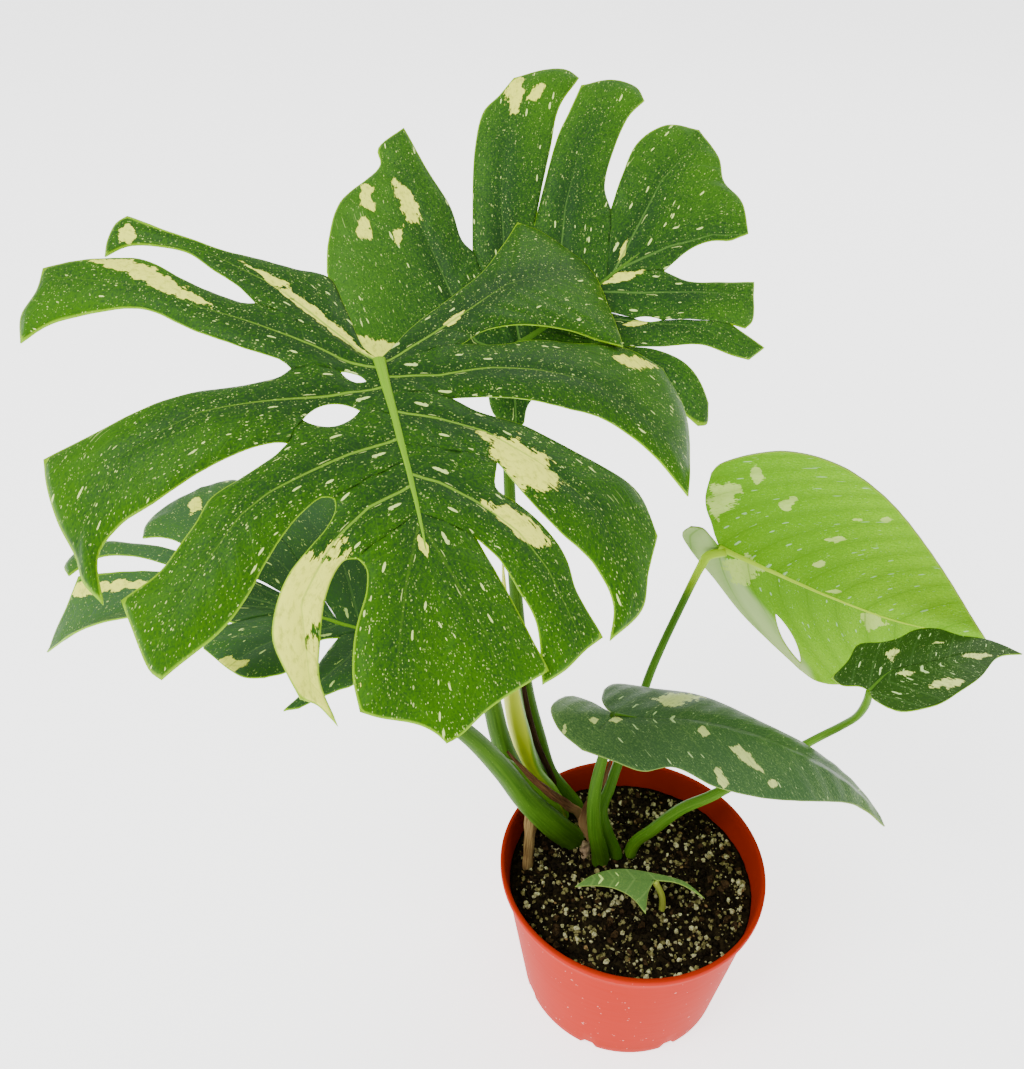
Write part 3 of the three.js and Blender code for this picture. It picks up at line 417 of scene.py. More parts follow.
LEAF_BACK = dict(
    name="leaf_back", at=(-83, 101, 404), turn=(28, 28, 43), arch=(2.9, 0), fold=(4, 0),
    cup=(9.6, 27), rib=[(0, 0), (29, -2), (66, -1), (109, 0), (138, 1), (152, -9), (151, -28)],
    rib_size=(2.4, 0.35), rib_share=0.75, channel=0.6, last=90, rows=(25, 30),
    holes=[dict(half=-1, seam=45, start=(69, -27), stop=(82, -37), width=3)],
    lobes=[
        dict(half=1, start=0, stop=5,
             up=[(0, 0), (-13, -1), (-28, -5), (-50, 6), (-61, 34), (-63, 63), (-49, 96)],
             end=[(-38, 110), (-19, 125), (12, 129), (17, 138)],
             low=[(21, 56), (20, 64), (27, 84), (31, 112), (36, 139)],
             vein=[(0, 1), (-9, 15), (-3, 45), (4, 72), (11, 100), (22, 123)]),
        dict(half=1, start=5, stop=35,
             up=[(21, 56), (31, 69), (59, 103), (78, 119), (90, 121), (104, 125)],
             end=[(121, 118), (131, 110)],
             low=[(57, 47), (74, 62), (93, 78), (111, 93.5), (133, 102)],
             vein=[(10, 0), (28, 36), (51, 69), (71, 91), (98, 117)]),
        dict(half=1, start=35, stop=70,
             up=[(57, 47), (72, 59), (101, 81), (115, 88.5), (131, 97.5)],
             end=[(147, 90), (155, 77)],
             low=[(97, 29), (102, 41), (121, 56), (140, 66), (153, 68)],
             vein=[(35, 0), (55, 22), (77, 45), (104, 66), (136, 83)]),
        dict(half=1, start=70, stop=END,
             up=[(97, 29), (115, 41), (135, 51), (155, 49), (167, 36)],
             end=[(166, 16), (160, 5), (160, -11)],
             vein=[(76, 0), (100, 11), (130, 25), (158, 30)]),
        dict(half=-1, start=0, stop=5,
             up=[(0, 0), (-12, -4), (-20, -11), (-25, -21), (-24, -30)],
             end=[(-21, -36)],
             low=[(0, -28), (-8, -30), (-15, -36)],
             vein=[(2, 0), (-5, -14), (-19, -34)]),
        dict(half=-1, start=5, stop=22, sag=(16, 10),
             up=[(0, -28), (10, -31), (30, -43), (49, -57), (60, -65), (67, -72), (71, -80), (75, -87)],
             end=[(79, -91)],
             low=[(56, -37), (71, -49), (81, -62), (84, -73), (84, -84)],
             vein=[(6, 0), (15, -20), (40, -44), (66, -60), (79, -84)]),
        dict(half=-1, start=22, stop=45,
             up=[(56, -37), (72, -48), (92, -61), (104, -76), (112, -85)],
             end=[],
             low=[(114, -62), (118, -71), (124, -85)],
             vein=[(33, -2), (62, -23), (95, -51), (118, -84)]),
        dict(half=-1, start=45, stop=75,
             up=[(114, -62), (120, -69)],
             end=[(126, -68), (135, -56)],
             low=[(99, -16), (107, -29), (122, -40), (139, -51)],
             vein=[(58, -1), (80, -18), (108, -37), (129, -54)]),
        dict(half=-1, start=75, stop=END,
             up=[(99, -16), (119, -15), (131, -18), (142, -25)],
             end=[],
             vein=[(80, -1), (110, -7), (135, -16), (148, -26)]),
    ],
    cream=[
        [(-3, 126), (0, 119), (-8, 107), (-11, 114)],
        [(-17, 111), (-13, 106), (-20, 93), (-24, 99)],
        [(11, 115), (15, 105), (9, 84), (4, 90), (5, 101)],
        [(-6, 92), (-2, 89), (-8, 82), (-11, 85)],
        [(101, 126), (109, 123), (97, 109), (87, 103), (92, 117)],
        [(101, 108), (111, 112), (115, 110), (108, 105), (102, 104)],
        [(80, 2), (87, 8), (94, 11), (87, 4)],
        [(66, -2), (76, -2), (89, -10), (79, -9)],
        [(58, -25), (70, -29), (76, -33), (69, -33)],
        [(-60, 58), (-53, 50), (-42, 36), (-50, 28), (-60, 44)],
    ],
)

LEAF_LEFT = dict(
    name="leaf_left", at=(-146, -33, 318), turn=(169, 13, 0), arch=(18, 4), fold=(24, 18),
    cup=(30, 14), rib=[(0, 0), (60, -2), (120, 0), (160, 0), (185, 1)], rib_size=(2.0, 0.3), rib_share=0.4,
    last=55, rows=(24, 36),
    lobes=[
        dict(half=-1, start=0, stop=15,
             up=[(0, 0), (-4, -28), (11, -65), (39, -87), (69, -96)],
             end=[(86, -95)],
             low=[(86, -67), (93, -79), (100, -91)],
             vein=[(3, 0), (25, -35), (58, -66), (88, -88)]),
        dict(half=-1, start=15, stop=20,
             up=[(86, -67), (102, -87), (120, -81)],
             end=[(132, -67), (139, -51)],
             low=[(87, -23), (111, -35), (125, -40), (137, -41)],
             vein=[(17, 0), (55, -28), (95, -47), (130, -60)]),
        dict(half=-1, start=20, stop=40,
             up=[(87, -23), (112, -30), (138, -37), (160, -40), (171, -36)],
             end=[(177, -31), (178, -25)],
             low=[(74, -11.5), (90, -17.5), (113, -21), (141, -29), (157, -29), (172, -18)],
             vein=[(30, -1), (70, -15), (112, -26), (145, -33), (172, -30)]),
        dict(half=-1, start=40, stop=END, sag=(0, 34),
             up=[(74, -11.5), (90, -14.5), (115, -17), (140, -17.5), (165, -17)],
             end=[(172, -13), (180, -8)],
             vein=[(50, -2), (90, -7), (130, -8), (175, -8)]),
        dict(half=1, start=0, stop=3,
             up=[(0, 0), (-11, 13), (-6, 46), (-1, 53), (4, 60), (10, 70)],
             end=[],
             low=[(12, 10), (12, 22), (12, 41), (12, 62), (15, 74)],
             vein=[(1, 1), (2, 30), (12, 72)]),
        dict(half=1, start=3, stop=35,
             up=[(12, 10), (18, 17), (20, 41), (23, 52), (29, 59)],
             end=[(36, 62), (47, 57)],
             low=[(58, 21), (63, 31), (61, 48)],
             vein=[(15, 0), (32, 24), (45, 56)]),
        dict(half=1, start=35, stop=END, sag=(20, 34),
             up=[(58, 21), (94, 15), (123, 12), (150, 11), (162, 10.5)],
             end=[],
             vein=[(50, 0), (90, 6), (130, 7), (170, 6)]),
    ],
    cream=[
        [(119, -64), (115, -68), (108, -59), (113, -54)],
        [(52, 56), (47, 51), (38, 53), (42, 59), (49, 60)],
        [(175, -15), (160, -15), (135, -13.5), (116, -11), (118, -9), (140, -10.5), (162, -12)],
    ],
)

LEAF_RIGHT = dict(
    name="leaf_right", at=(49.5, 102.5, 276), turn=(-17, -14, -78), arch=(3.6, 0), fold=(6, 4),
    cup=(3.6, 11), rib=[(0, 0), (30, 2), (73, 3), (116, -2), (160, -18)], rib_size=(2.7, 0.5),
    rib_share=0.8, vein_lean=(0.30, 0.0075), side_veins=19.0, quilt=0.45, turned_rim=1.0, last=END,
    rows=(50, 0),
    holes=[dict(half=1, seam=20, start=(52, 40), stop=(84, 78), width=8)],
    lobes=[
        dict(half=-1, start=0, stop=END,
             up=[(0, 0), (-9, -14), (-20, -32), (-24, -54)],
             end=[(-22.5, -62), (-15.5, -72), (-5, -83), (8, -92), (33, -97), (64, -88), (100, -65),
                  (135, -38)]),
        dict(half=1, start=0, stop=20,
             up=[(0, 0), (-7, -6), (-14, -10), (-21, -8)],
             end=[(-24, 0), (-16, 11), (6, 30), (36, 56), (59, 70)],
             low=[(86, 85)]),
        dict(half=1, start=20, stop=END,
             up=[(86, 85)],
             end=[(101, 89), (114, 81), (130, 56), (145, 19)]),
    ],
    cream=[
        [(-20, -44), (-14, -52), (-5, -53), (-5, -39), (-9, -20), (-16, -30)],
        [(-4, -66), (-4, -75), (4, -66), (2, -58)],
        [(19, -50), (22, -60), (26, -59), (25, -47)],
        [(6, 10), (17, -1), (29, 4), (26, 26), (15, 24)],
        [(52, -39), (57, -46), (62, -46), (58, -39)],
        [(57, -60), (60, -65), (64, -65), (60, -60)],
        [(70, -70), (72, -74), (77, -75), (74, -69)],
        [(53, -16), (57, -22), (61, -21), (58, -16)],
        [(94, 7), (99, 0), (110, 5), (106, 18)],
        [(68, 0), (73, -5), (78, -5), (74, -1)],
    ],
    # A painted sheen: the strip along the blade's turned-away edge, grey-green for light glancing off it.
    painted_sheen=[
        [(-27, -12), (-10, -12), (-2, 0), (11, 11), (34, 32), (51, 44), (77, 68), (92, 80), (101, 92),
         (88, 92), (60, 76), (30, 56), (0, 34), (-20, 18), (-28, 2)],
    ],
)

LEAF_FAR = dict(
    name="leaf_far_right", at=(123, 12, 243), turn=(12, 24, 0), arch=(36, 0), fold=(4, 4),
    cup=(16, 16), rib=[(0, 0), (18, 7), (39.5, 4.5), (63.5, 5), (95.5, 1)], rib_size=(1.0, 0.2),
    rib_share=0.6, vein_lean=(0.6, 0.008), side_veins=12.0, turned_rim=1.2, channel=0.5, last=END,
    rows=(25, 0),
    lobes=[
        dict(half=1, start=0, stop=END,
             up=[(0, 0), (-2.5, 5), (-11, 11.5), (-13.5, 19)],
             end=[(0, 25), (10.5, 33), (23.5, 28.5), (33.5, 28), (44, 30.5), (57, 27.5), (66, 19.5),
                  (79, 14.5)]),
        dict(half=-1, start=0, stop=END,
             up=[(0, 0), (-1, -5), (2.5, -14.5)],
             end=[(8, -21.5), (26.5, -25), (41.5, -21), (57.5, -14.5), (79, -0.5)]),
    ],
    cream=[
        [(19, 18), (26, 23), (29, 18), (20, 9)],
        [(18, 4), (24, 4), (30, -1), (22, -2)],
        [(26, -11), (39, -9), (51, -15), (37, -20)],
        [(51, 5), (66, 5), (81, 0), (63, -2)],
        [(36, 16), (50, 17), (62, 13), (50, 15)],
    ],
)

LEAF_LOW = dict(
    name="leaf_low", at=(-19, 4, 230), turn=(-5, 6, -5), arch=(30, 10), fold=(-8, -8), cup=(16, 20),
    rib=[(0, 0), (19, -1), (48, 3), (75, 5), (116, 7), (154, 7), (178, -5)], rib_size=(1.2, 0.2),
    rib_share=0.12, vein_lean=(0.6, 0.006), side_veins=16.0, turned_rim=2.2, channel=0.9, last=END,
    rows=(30, 0),
    lobes=[
        dict(half=1, start=0, stop=END,
             up=[(0, 0), (-5, 9), (-8, 19), (-7, 32)],
             end=[(-2, 39), (20, 37), (45, 37), (71, 31), (103, 24), (140, 22), (165, 11)]),
        dict(half=-1, start=0, stop=0, fan=True,
             up=[(0, 0), (-7, 9), (-13, 16)],
             end=[(-28, 26), (-37, 14), (-32, -8)],
             low=[(0, 0), (-8, -11), (-18, -23)]),
        dict(half=-1, start=0, stop=END, joined=True,
             up=[(0, 0), (-8, -11), (-18, -23)],
             end=[(-2, -30), (15, -36), (33, -31), (56, -39), (77, -38), (107, -30), (153, -8)]),
    ],
    cream=[
        [(22, 18), (31, 28), (45, 34), (54, 32), (44, 21), (36, 14), (27, 10)],
        [(65, -13), (70, -10), (77, -15), (84, -23), (77, -23), (71, -20)],
        [(54, -31), (59, -28), (65, -37), (60, -41)],
        [(-4, -5), (1, -1), (5, -4), (1, -7)],
        [(-15, -5), (-12, -2), (-8, -4), (-11, -8)],
        [(-30, -11), (-28, -6), (-26, -10), (-28, -14)],
        [(45, -6), (49, -2), (53, -7), (49, -11)],
        [(86, -29), (90, -24), (94, -26), (90, -30)],
    ],
)

LEAF_FIRST = dict(
    name="leaf_first", at=(11, -22, 117), turn=(176, -3, 0), arch=(12, 20), fold=(-4, -4),
    cup=(30, 30), rib=[(0, 0), (9, 0), (24, -1), (48, 5)], rib_size=(0.8, 0.2), rib_share=0.8,
    vein_lean=(0.6, 0.01), side_veins=10.0, turned_rim=0.6, last=END, rows=(16, 0),
    lobes=[
        dict(half=-1, start=0, stop=END,
             up=[(0, 0), (-14, 1), (-29.5, 9.5)],
             end=[(-17.5, -0.5), (-0.5, -5), (20, -8), (35.5, -4)]),
        dict(half=1, start=0, stop=END,
             up=[(0, 0), (4, 8), (6, 21.5)],
             end=[(14, 11.5), (24.5, 6), (35.5, 4.5)]),
    ],
    cream=[],
)

BLADE = 0.9              # millimetres of thickness
CELL = 2.6               # the width that a blade's cells aim at
CELL_COLUMNS = (8, 74)   # the fewest and the most across a lobe
HOLE_SWELL = 0.8         # below 1 the ends of a hole are blunter
MERGE = 0.00003          # metres between points of neighbouring lobes that are one
SUNK_VEIN = 1.7          # how deep a side vein lies in the blade
VEIN_HOLLOW = 3.4        # half the width of its hollow
BRANCH_GAP = 13          # from one fold between branch veins to the next
BRANCH_SLANT = 0.9       # how far a branch vein runs outwards for each millimetre aside
TURNED_RIM = 3.6         # how far a rim bends up
CHANNEL = 1.6            # the depth of the groove over a midrib


# ---- Leaf shape ----
def leaf_axes(turn):
    heading, pitch, roll = (math.radians(angle) for angle in turn)
    along = np.array([math.cos(heading) * math.cos(pitch), math.sin(heading) * math.cos(pitch),
                      math.sin(pitch)])
    level = np.array([-math.sin(heading), math.cos(heading), 0])
    upright = np.cross(along, level)
    across = level * math.cos(roll) + upright * math.sin(roll)
    return along, across, np.cross(along, across)


def arc(length, bend, slope):
    bend = np.where(np.abs(bend) < 1e-7, 1e-7, bend)
    end = slope - bend * length
    return (np.sin(slope) - np.sin(end)) / bend, (np.cos(end) - np.cos(slope)) / bend


def bent(leaf, flat, droop=0.0, lift=0.0):
    """The place in space of flat blade points, in millimetres."""
    along, across, normal = leaf_axes(leaf["turn"])
    u, v = flat[..., 0], flat[..., 1]
    bend = np.radians(np.where(u >= 0, *leaf["arch"])) / 100
    run, rise = arc(np.abs(u), bend, 0.0)
    cup = np.radians(np.where(v >= 0, *leaf["cup"])) / 100
    reach, height = arc(np.abs(v), cup, np.radians(np.where(v >= 0, *leaf["fold"])))
    height = height + lift
    part_along = np.sign(u) * run + height * np.sin(bend * u)
    part_normal = rise + height * np.cos(bend * u)
    place = (
        np.array(leaf["at"], float) + part_along[..., None] * along
        + (np.sign(v) * reach)[..., None] * across + part_normal[..., None] * normal
    )
    place[..., 2] -= droop
    return place


class Spine:
    """The midrib's curve, read by the distance along it."""

    def __init__(self, rib):
        self.line = smooth_line(rib, 400)
        steps = np.linalg.norm(np.diff(self.line, axis=0), axis=1)
        self.lengths = np.concatenate([[0], np.cumsum(steps)])
        self.length = self.lengths[-1]

    def at(self, station):
        return np.stack([np.interp(station, self.lengths, self.line[:, k]) for k in (0, 1)], -1)


def hole_rim(hole, steps, side):
    """One edge of a lens-shaped hole; side is 1 or -1."""
    first, second = np.array(hole["start"], float), np.array(hole["stop"], float)
    way = (second - first) / np.linalg.norm(second - first)
    swell = np.sin(np.linspace(0, math.pi, steps + 1)) ** HOLE_SWELL
    aside = np.array([way[1], -way[0]]) * side * hole["width"] / 2
    return straight(first, second, steps) + swell[:, None] * aside


def seam_line(leaf, spine, lobe, station, bottom, after):
    """From the midrib to the foot of a cut, round one side of any hole on the way."""
    steps = leaf["rows"][0]
    start = spine.at(station)
    for hole in leaf.get("holes", []):
        if hole["half"] == lobe["half"] and hole["seam"] == station:
            break
    else:
        return straight(start, bottom, steps)
    corners = [start, hole["start"], hole["stop"], bottom]
    parts = [np.linalg.norm(np.subtract(b, a)) for a, b in zip(corners, corners[1:])]
    before = max(1, round(steps * parts[0] / sum(parts)))
    beyond = max(1, round(steps * parts[2] / sum(parts)))
    rim = hole_rim(hole, steps - before - beyond, after * lobe["half"])
    return np.vstack([straight(start, hole["start"], before)[:-1], rim,
                      straight(hole["stop"], bottom, beyond)[1:]])


def edge_line(leaf, spine, lobe, station, edge, after):
    """One edge of a lobe, and how far out along its free edge each point is, from 0 to 1."""
    seam_steps, free_steps = leaf["rows"]
    total = seam_steps + free_steps
    if station == 0:
        return smooth_line(edge, total), np.linspace(0, 1, total + 1)
    seam = seam_line(leaf, spine, lobe, station, edge[0], after)
    if not free_steps:
        return seam, np.zeros(total + 1)
    free = smooth_line(edge, free_steps)
    out = np.concatenate([np.zeros(seam_steps + 1), np.linspace(0, 1, free_steps + 1)[1:]])
    return np.vstack([seam, free[1:]]), out


def lobe_patch(leaf, spine, lobe):
    """The lobe's flat points in columns and rows, their droop, and its free outline."""
    total = sum(leaf["rows"])
    last = min(leaf["last"], spine.length)
    stop = min(lobe["stop"], last)
    up, up_out = edge_line(leaf, spine, lobe, lobe["start"], lobe["up"], 1)
    if "low" in lobe:
        low, low_out = edge_line(leaf, spine, lobe, lobe["stop"], lobe["low"], -1)
    else:
        low, low_out = spine.at(np.linspace(last, spine.length, total + 1)), np.linspace(0, 1, total + 1)
    corners = [lobe["up"][-1], *lobe["end"], lobe.get("low", leaf["rib"])[-1]]
    end = smooth_line(corners, 60)
    width = max(np.linalg.norm(low - up, axis=1).max(), stop - lobe["start"])
    columns = int(np.clip(round(width / CELL), *CELL_COLUMNS))
    inner = spine.at(np.linspace(lobe["start"], stop, columns + 1))
    outer = smooth_line(corners, columns)
    s = np.linspace(0, 1, columns + 1)[:, None, None]
    t = np.linspace(0, 1, total + 1)[None, :, None]
    flat = (
        (1 - s) * up[None] + s * low[None] + (1 - t) * inner[:, None] + t * outer[:, None]
        - (1 - s) * ((1 - t) * inner[0] + t * outer[0]) - s * ((1 - t) * inner[-1] + t * outer[-1])
    )
    out = (1 - s[..., 0]) * up_out[None] + s[..., 0] * low_out[None]
    up_sag, low_sag = lobe.get("sag", (0, 0))
    droop = out ** 2 * ((1 - s[..., 0]) * up_sag + s[..., 0] * low_sag)
    seam = leaf["rows"][0]
    free_up = up if lobe["start"] == 0 else up[seam:]
    if lobe.get("joined"):
        free_up = up[:0]
    free_low = low[seam:] if "low" in lobe and not lobe.get("fan") else low[:0]
    return flat, droop, [line for line in (free_up, free_low, end) if len(line) > 1]


def patch_width(outline):
    """About half the width of a patch, in millimetres, from its area and the way round it."""
    ring = np.array([*outline, outline[0]], float)
    area = abs(np.sum(ring[:-1, 0] * ring[1:, 1] - ring[1:, 0] * ring[:-1, 1])) / 2
    return area / np.sum(np.linalg.norm(np.diff(ring, axis=0), axis=1)) * 1.6


def patches(outlines, flat):
    """Above zero inside any of the patches: 1 is about half their width in from the edge."""
    depths = [inside_by(outline, flat) / patch_width(outline) for outline in outlines]
    return np.max(depths, axis=0) if depths else np.full(flat.shape[:-1], -50.0)


def grain_of(leaf, lobe, flat):
    """Where each point is along and across the nearest side vein, in millimetres."""
    if "vein" in lobe:
        across, along = nearest_on(lobe["vein"], flat)
        return np.stack([along, across], -1)
    aside = np.abs(flat[..., 1])
    lean, curl = leaf["vein_lean"]
    return np.stack([aside * 1.3, flat[..., 0] - lean * aside - curl * aside ** 2], -1)


def leaf_relief(leaf, lobe, flat, grain, rim, rib):
    """Height of the blade over its smooth sheet: sunk veins, soft quilting and a turned rim."""
    along, across = grain[..., 0], grain[..., 1]
    if "vein" in lobe:
        near_vein = np.exp(-(across / VEIN_HOLLOW) ** 2) * np.clip(1.2 - along / 150, 0.25, 1)
        folds = np.sin((along - BRANCH_SLANT * np.abs(across)) * 2 * math.pi / BRANCH_GAP)
        quilt = folds * np.clip(np.abs(across) / 9, 0, 1) * 0.35
        lift = -SUNK_VEIN * near_vein * lobe.get("faint", 1.0) + quilt
    else:
        lift = leaf.get("quilt", 0.22) * np.cos(across * 2 * math.pi / leaf["side_veins"])
    lift = lift * np.clip(rib / 6, 0, 1) * np.clip(rim / 3, 0.25, 1)
    wave = np.sin(flat[..., 0] / 9.0 + 1.3) * np.cos(flat[..., 1] / 11.0)
    turned = leaf.get("turned_rim", TURNED_RIM) * (np.exp(-rim / 6.5) + 0.25 * wave * np.exp(-rim / 9.0))
    channel = CHANNEL * np.exp(-(rib / 5.0) ** 2) * leaf.get("channel", 0.0)
    return lift - turned * np.clip(rib / 12, 0, 1) - channel


def add_lobe(bm, layers, leaf, spine, lobe, rims):
    """One lobe as a grid of cells, bent into place, with what its finish reads kept on its points."""
    flat, droop, edges = lobe_patch(leaf, spine, lobe)
    columns, rows = flat.shape[0] - 1, flat.shape[1] - 1
    grain = grain_of(leaf, lobe, flat)
    rim = np.min([edge_gap(line, flat) for line in edges + rims], axis=0)
    rib = edge_gap(spine.line[::20], flat)
    lift = leaf_relief(leaf, lobe, flat, grain, rim, rib)
    place = bent(leaf, flat, droop, lift) * MM
    # The sheen patches carry a painted sheen, a grey-green tint for light glancing off the blade.
    marks = {"cream": patches(leaf["cream"], flat), "painted_sheen": patches(leaf.get("painted_sheen", []), flat), "rim": rim,
             "vein": np.full(rim.shape, lobe.get("faint", 1.0))}
    made = bmesh.ops.create_grid(bm, x_segments=columns, y_segments=rows, size=0.5)["verts"]
    spots = {}
    for vert in made:
        spot = round((vert.co.x + 0.5) * columns), round((vert.co.y + 0.5) * rows)
        spots[vert] = spot
        vert.co = place[spot]
        for name, values in marks.items():
            vert[layers[name]] = values[spot]
    faces = {face for vert in made for face in vert.link_faces}
    for face in faces:
        for loop in face.loops:
            spot = spots[loop.vert]
            loop[layers["grain"]].uv = grain[spot] / UV_SPAN
            loop[layers["plan"]].uv = flat[spot] / UV_SPAN
    if lobe["half"] < 0:
        bmesh.ops.reverse_faces(bm, faces=list(faces))


def face_upward(bm, leaf):
    """Turns the sheet over if its faces look down from the blade."""
    normal = Vector(leaf_axes(leaf["turn"])[2])
    total = sum((face.normal * face.calc_area() for face in bm.faces), Vector())
    if total.dot(normal) < 0:
        bmesh.ops.reverse_faces(bm, faces=bm.faces)


# ---- Tubes: stalks, ribs and sheaths ----
RIB_SIDES, SHEATH_SIDES, ROOT_SIDES, STALK_SIDES, FURLED_SIDES = 12, 14, 18, 20, 24
RIB_STEPS = 60


def sweep_frames(centres, hint):
    """The side and upward directions at each point of a line, turned as little as possible."""
    ways = np.gradient(centres, axis=0)
    ways /= np.linalg.norm(ways, axis=1)[:, None]
    side = np.cross(ways[0], hint)
    if np.linalg.norm(side) < 1e-3:
        side = np.cross(ways[0], (0.3, 1.0, 0.2))
    frames = []
    for way in ways:
        side = side - way * (side @ way)
        side /= np.linalg.norm(side)
        frames.append((side.copy(), np.cross(side, way)))
    return frames


def make_tube(name, skin, centres, radii, sides, flat=None, shape=None):
    """A closed tube along a line of points in millimetres, with its length and turn as its UV map.

    flat=(up, above, below) squeezes it by those shares on either side of a blade, and shape gives
    the share of the radius that it has at an angle and a share of its length.
    """
    centres, radii = centres * MM, radii * MM
    frames = sweep_frames(centres, np.array(flat[0] if flat else (0.0, -1.0, 0.15)))
    run = np.concatenate([[0], np.cumsum(np.linalg.norm(np.diff(centres, axis=0), axis=1))])
    angles = np.arange(sides) * 2 * math.pi / sides
    bm = bmesh.new()
    grain = bm.loops.layers.uv.new("grain")
    ring = bmesh.ops.create_circle(bm, cap_ends=False, radius=1, segments=sides)["verts"]
    ring.sort(key=lambda vert: math.atan2(vert.co.y, vert.co.x) % (2 * math.pi))
    where = {}
    for i, (centre, radius) in enumerate(zip(centres, radii)):
        if i:
            edges = [bm.edges.get((ring[k], ring[(k + 1) % sides])) for k in range(sides)]
            follow = {edge.other_vert(vert): vert for vert in extruded(bm, edges) for edge in vert.link_edges}
            ring = [follow[vert] for vert in ring]
        side, up = frames[i]
        for k, vert in enumerate(ring):
            reach = radius * (shape(angles[k], i / (len(centres) - 1)) if shape else 1.0)
            rise = reach * math.sin(angles[k])
            if flat:
                rise *= flat[1] if rise > 0 else flat[2]
            vert.co = centre + side * reach * math.cos(angles[k]) + up * rise
            where[vert] = (i, k)
    bmesh.ops.holes_fill(bm, edges=bm.edges)
    for face in bm.faces:
        spots = [where[loop.vert] for loop in face.loops]
        wraps = {0, sides - 1} <= {k for _, k in spots}
        for loop, (i, k) in zip(face.loops, spots):
            turn = 1.0 if wraps and k == 0 else k / sides
            loop[grain].uv = (run[i] / MM / UV_SPAN, turn)
    bmesh.ops.recalc_face_normals(bm, faces=bm.faces)
    return finished(name, bm, [skin])


def profile(radii, steps):
    """Smooth radii from the few given ones, from foot to top."""
    return smooth_line([(i, radius) for i, radius in enumerate(radii)], steps)[:, 1]


def make_midrib(leaf, spine, skin):
    """A tapered rib, rounded below the blade and lower above it."""
    stations = np.linspace(0, spine.length * leaf["rib_share"], RIB_STEPS)
    share = stations / stations[-1]
    thick, thin = leaf["rib_size"]
    sunk = -1.3 * leaf.get("channel", 0.0) * np.clip(stations / 12, 0, 1) - 0.35 * share ** 3
    centres = bent(leaf, spine.at(stations), 0.0, sunk)
    radii = thick + (thin - thick) * share ** 0.6
    flat = (leaf_axes(leaf["turn"])[2], 0.55, 1.0)
    return make_tube(leaf["name"] + "_midrib", skin, centres, radii, RIB_SIDES, flat)


def make_leaf(leaf, top, under, rib):
    """A blade, its lobes merged into one sheet that gets a wall, and its midrib."""
    spine = Spine(leaf["rib"])
    bm = bmesh.new()
    layers = {name: bm.verts.layers.float.new(name) for name in ("cream", "rim", "vein", "painted_sheen")}
    layers |= {name: bm.loops.layers.uv.new(name) for name in ("grain", "plan")}
    rims = [hole_rim(hole, 12, side) for hole in leaf.get("holes", []) for side in (1, -1)]
    for lobe in leaf["lobes"]:
        add_lobe(bm, layers, leaf, spine, lobe, rims)
    bmesh.ops.remove_doubles(bm, verts=bm.verts, dist=MERGE)
    bmesh.ops.dissolve_degenerate(bm, edges=bm.edges, dist=MERGE / 3)
    bmesh.ops.recalc_face_normals(bm, faces=bm.faces)
    face_upward(bm, leaf)
    blade = finished(leaf["name"] + "_blade", bm, [top, under])
    wall = blade.modifiers.new("thickness", "SOLIDIFY")
    wall.thickness = BLADE * MM
    wall.offset = 0
    wall.material_offset = 1
    slot = "leaf_underside" if leaf["name"] == "leaf_right" else "leaf"
    settle(blade, slot, leaf["name"])
    settle(make_midrib(leaf, spine, rib), slot)


# ---- Finishes of leaves, stalks and dry skin ----
SPECK_SIZE, FLECK_SIZE = 0.28, 0.36      # share of a cell that the largest one fills
SPECKS = [               # cell along and across the grain in millimetres, share of cells, shift, brightness
    ((1.3, 0.7), 0.80, 1.3, 0.60),
    ((1.8, 0.9), 0.60, 5.1, 0.80),
    ((3.2, 1.2), 0.22, 9.7, 1.0),
]
FLECKS = [((6.5, 1.6), 1.0, 3.3), ((11, 2.6), 0.50, 7.9)]     # cell, share of the leaf's flecks, shift
BRANCH_VEINS = 9.0       # millimetres from one fine branch vein to the next
LEAF_SHINE = (0.55, 0.80, 0.45)
STALK_SHINE = (0.7, 0.9, 0.55)


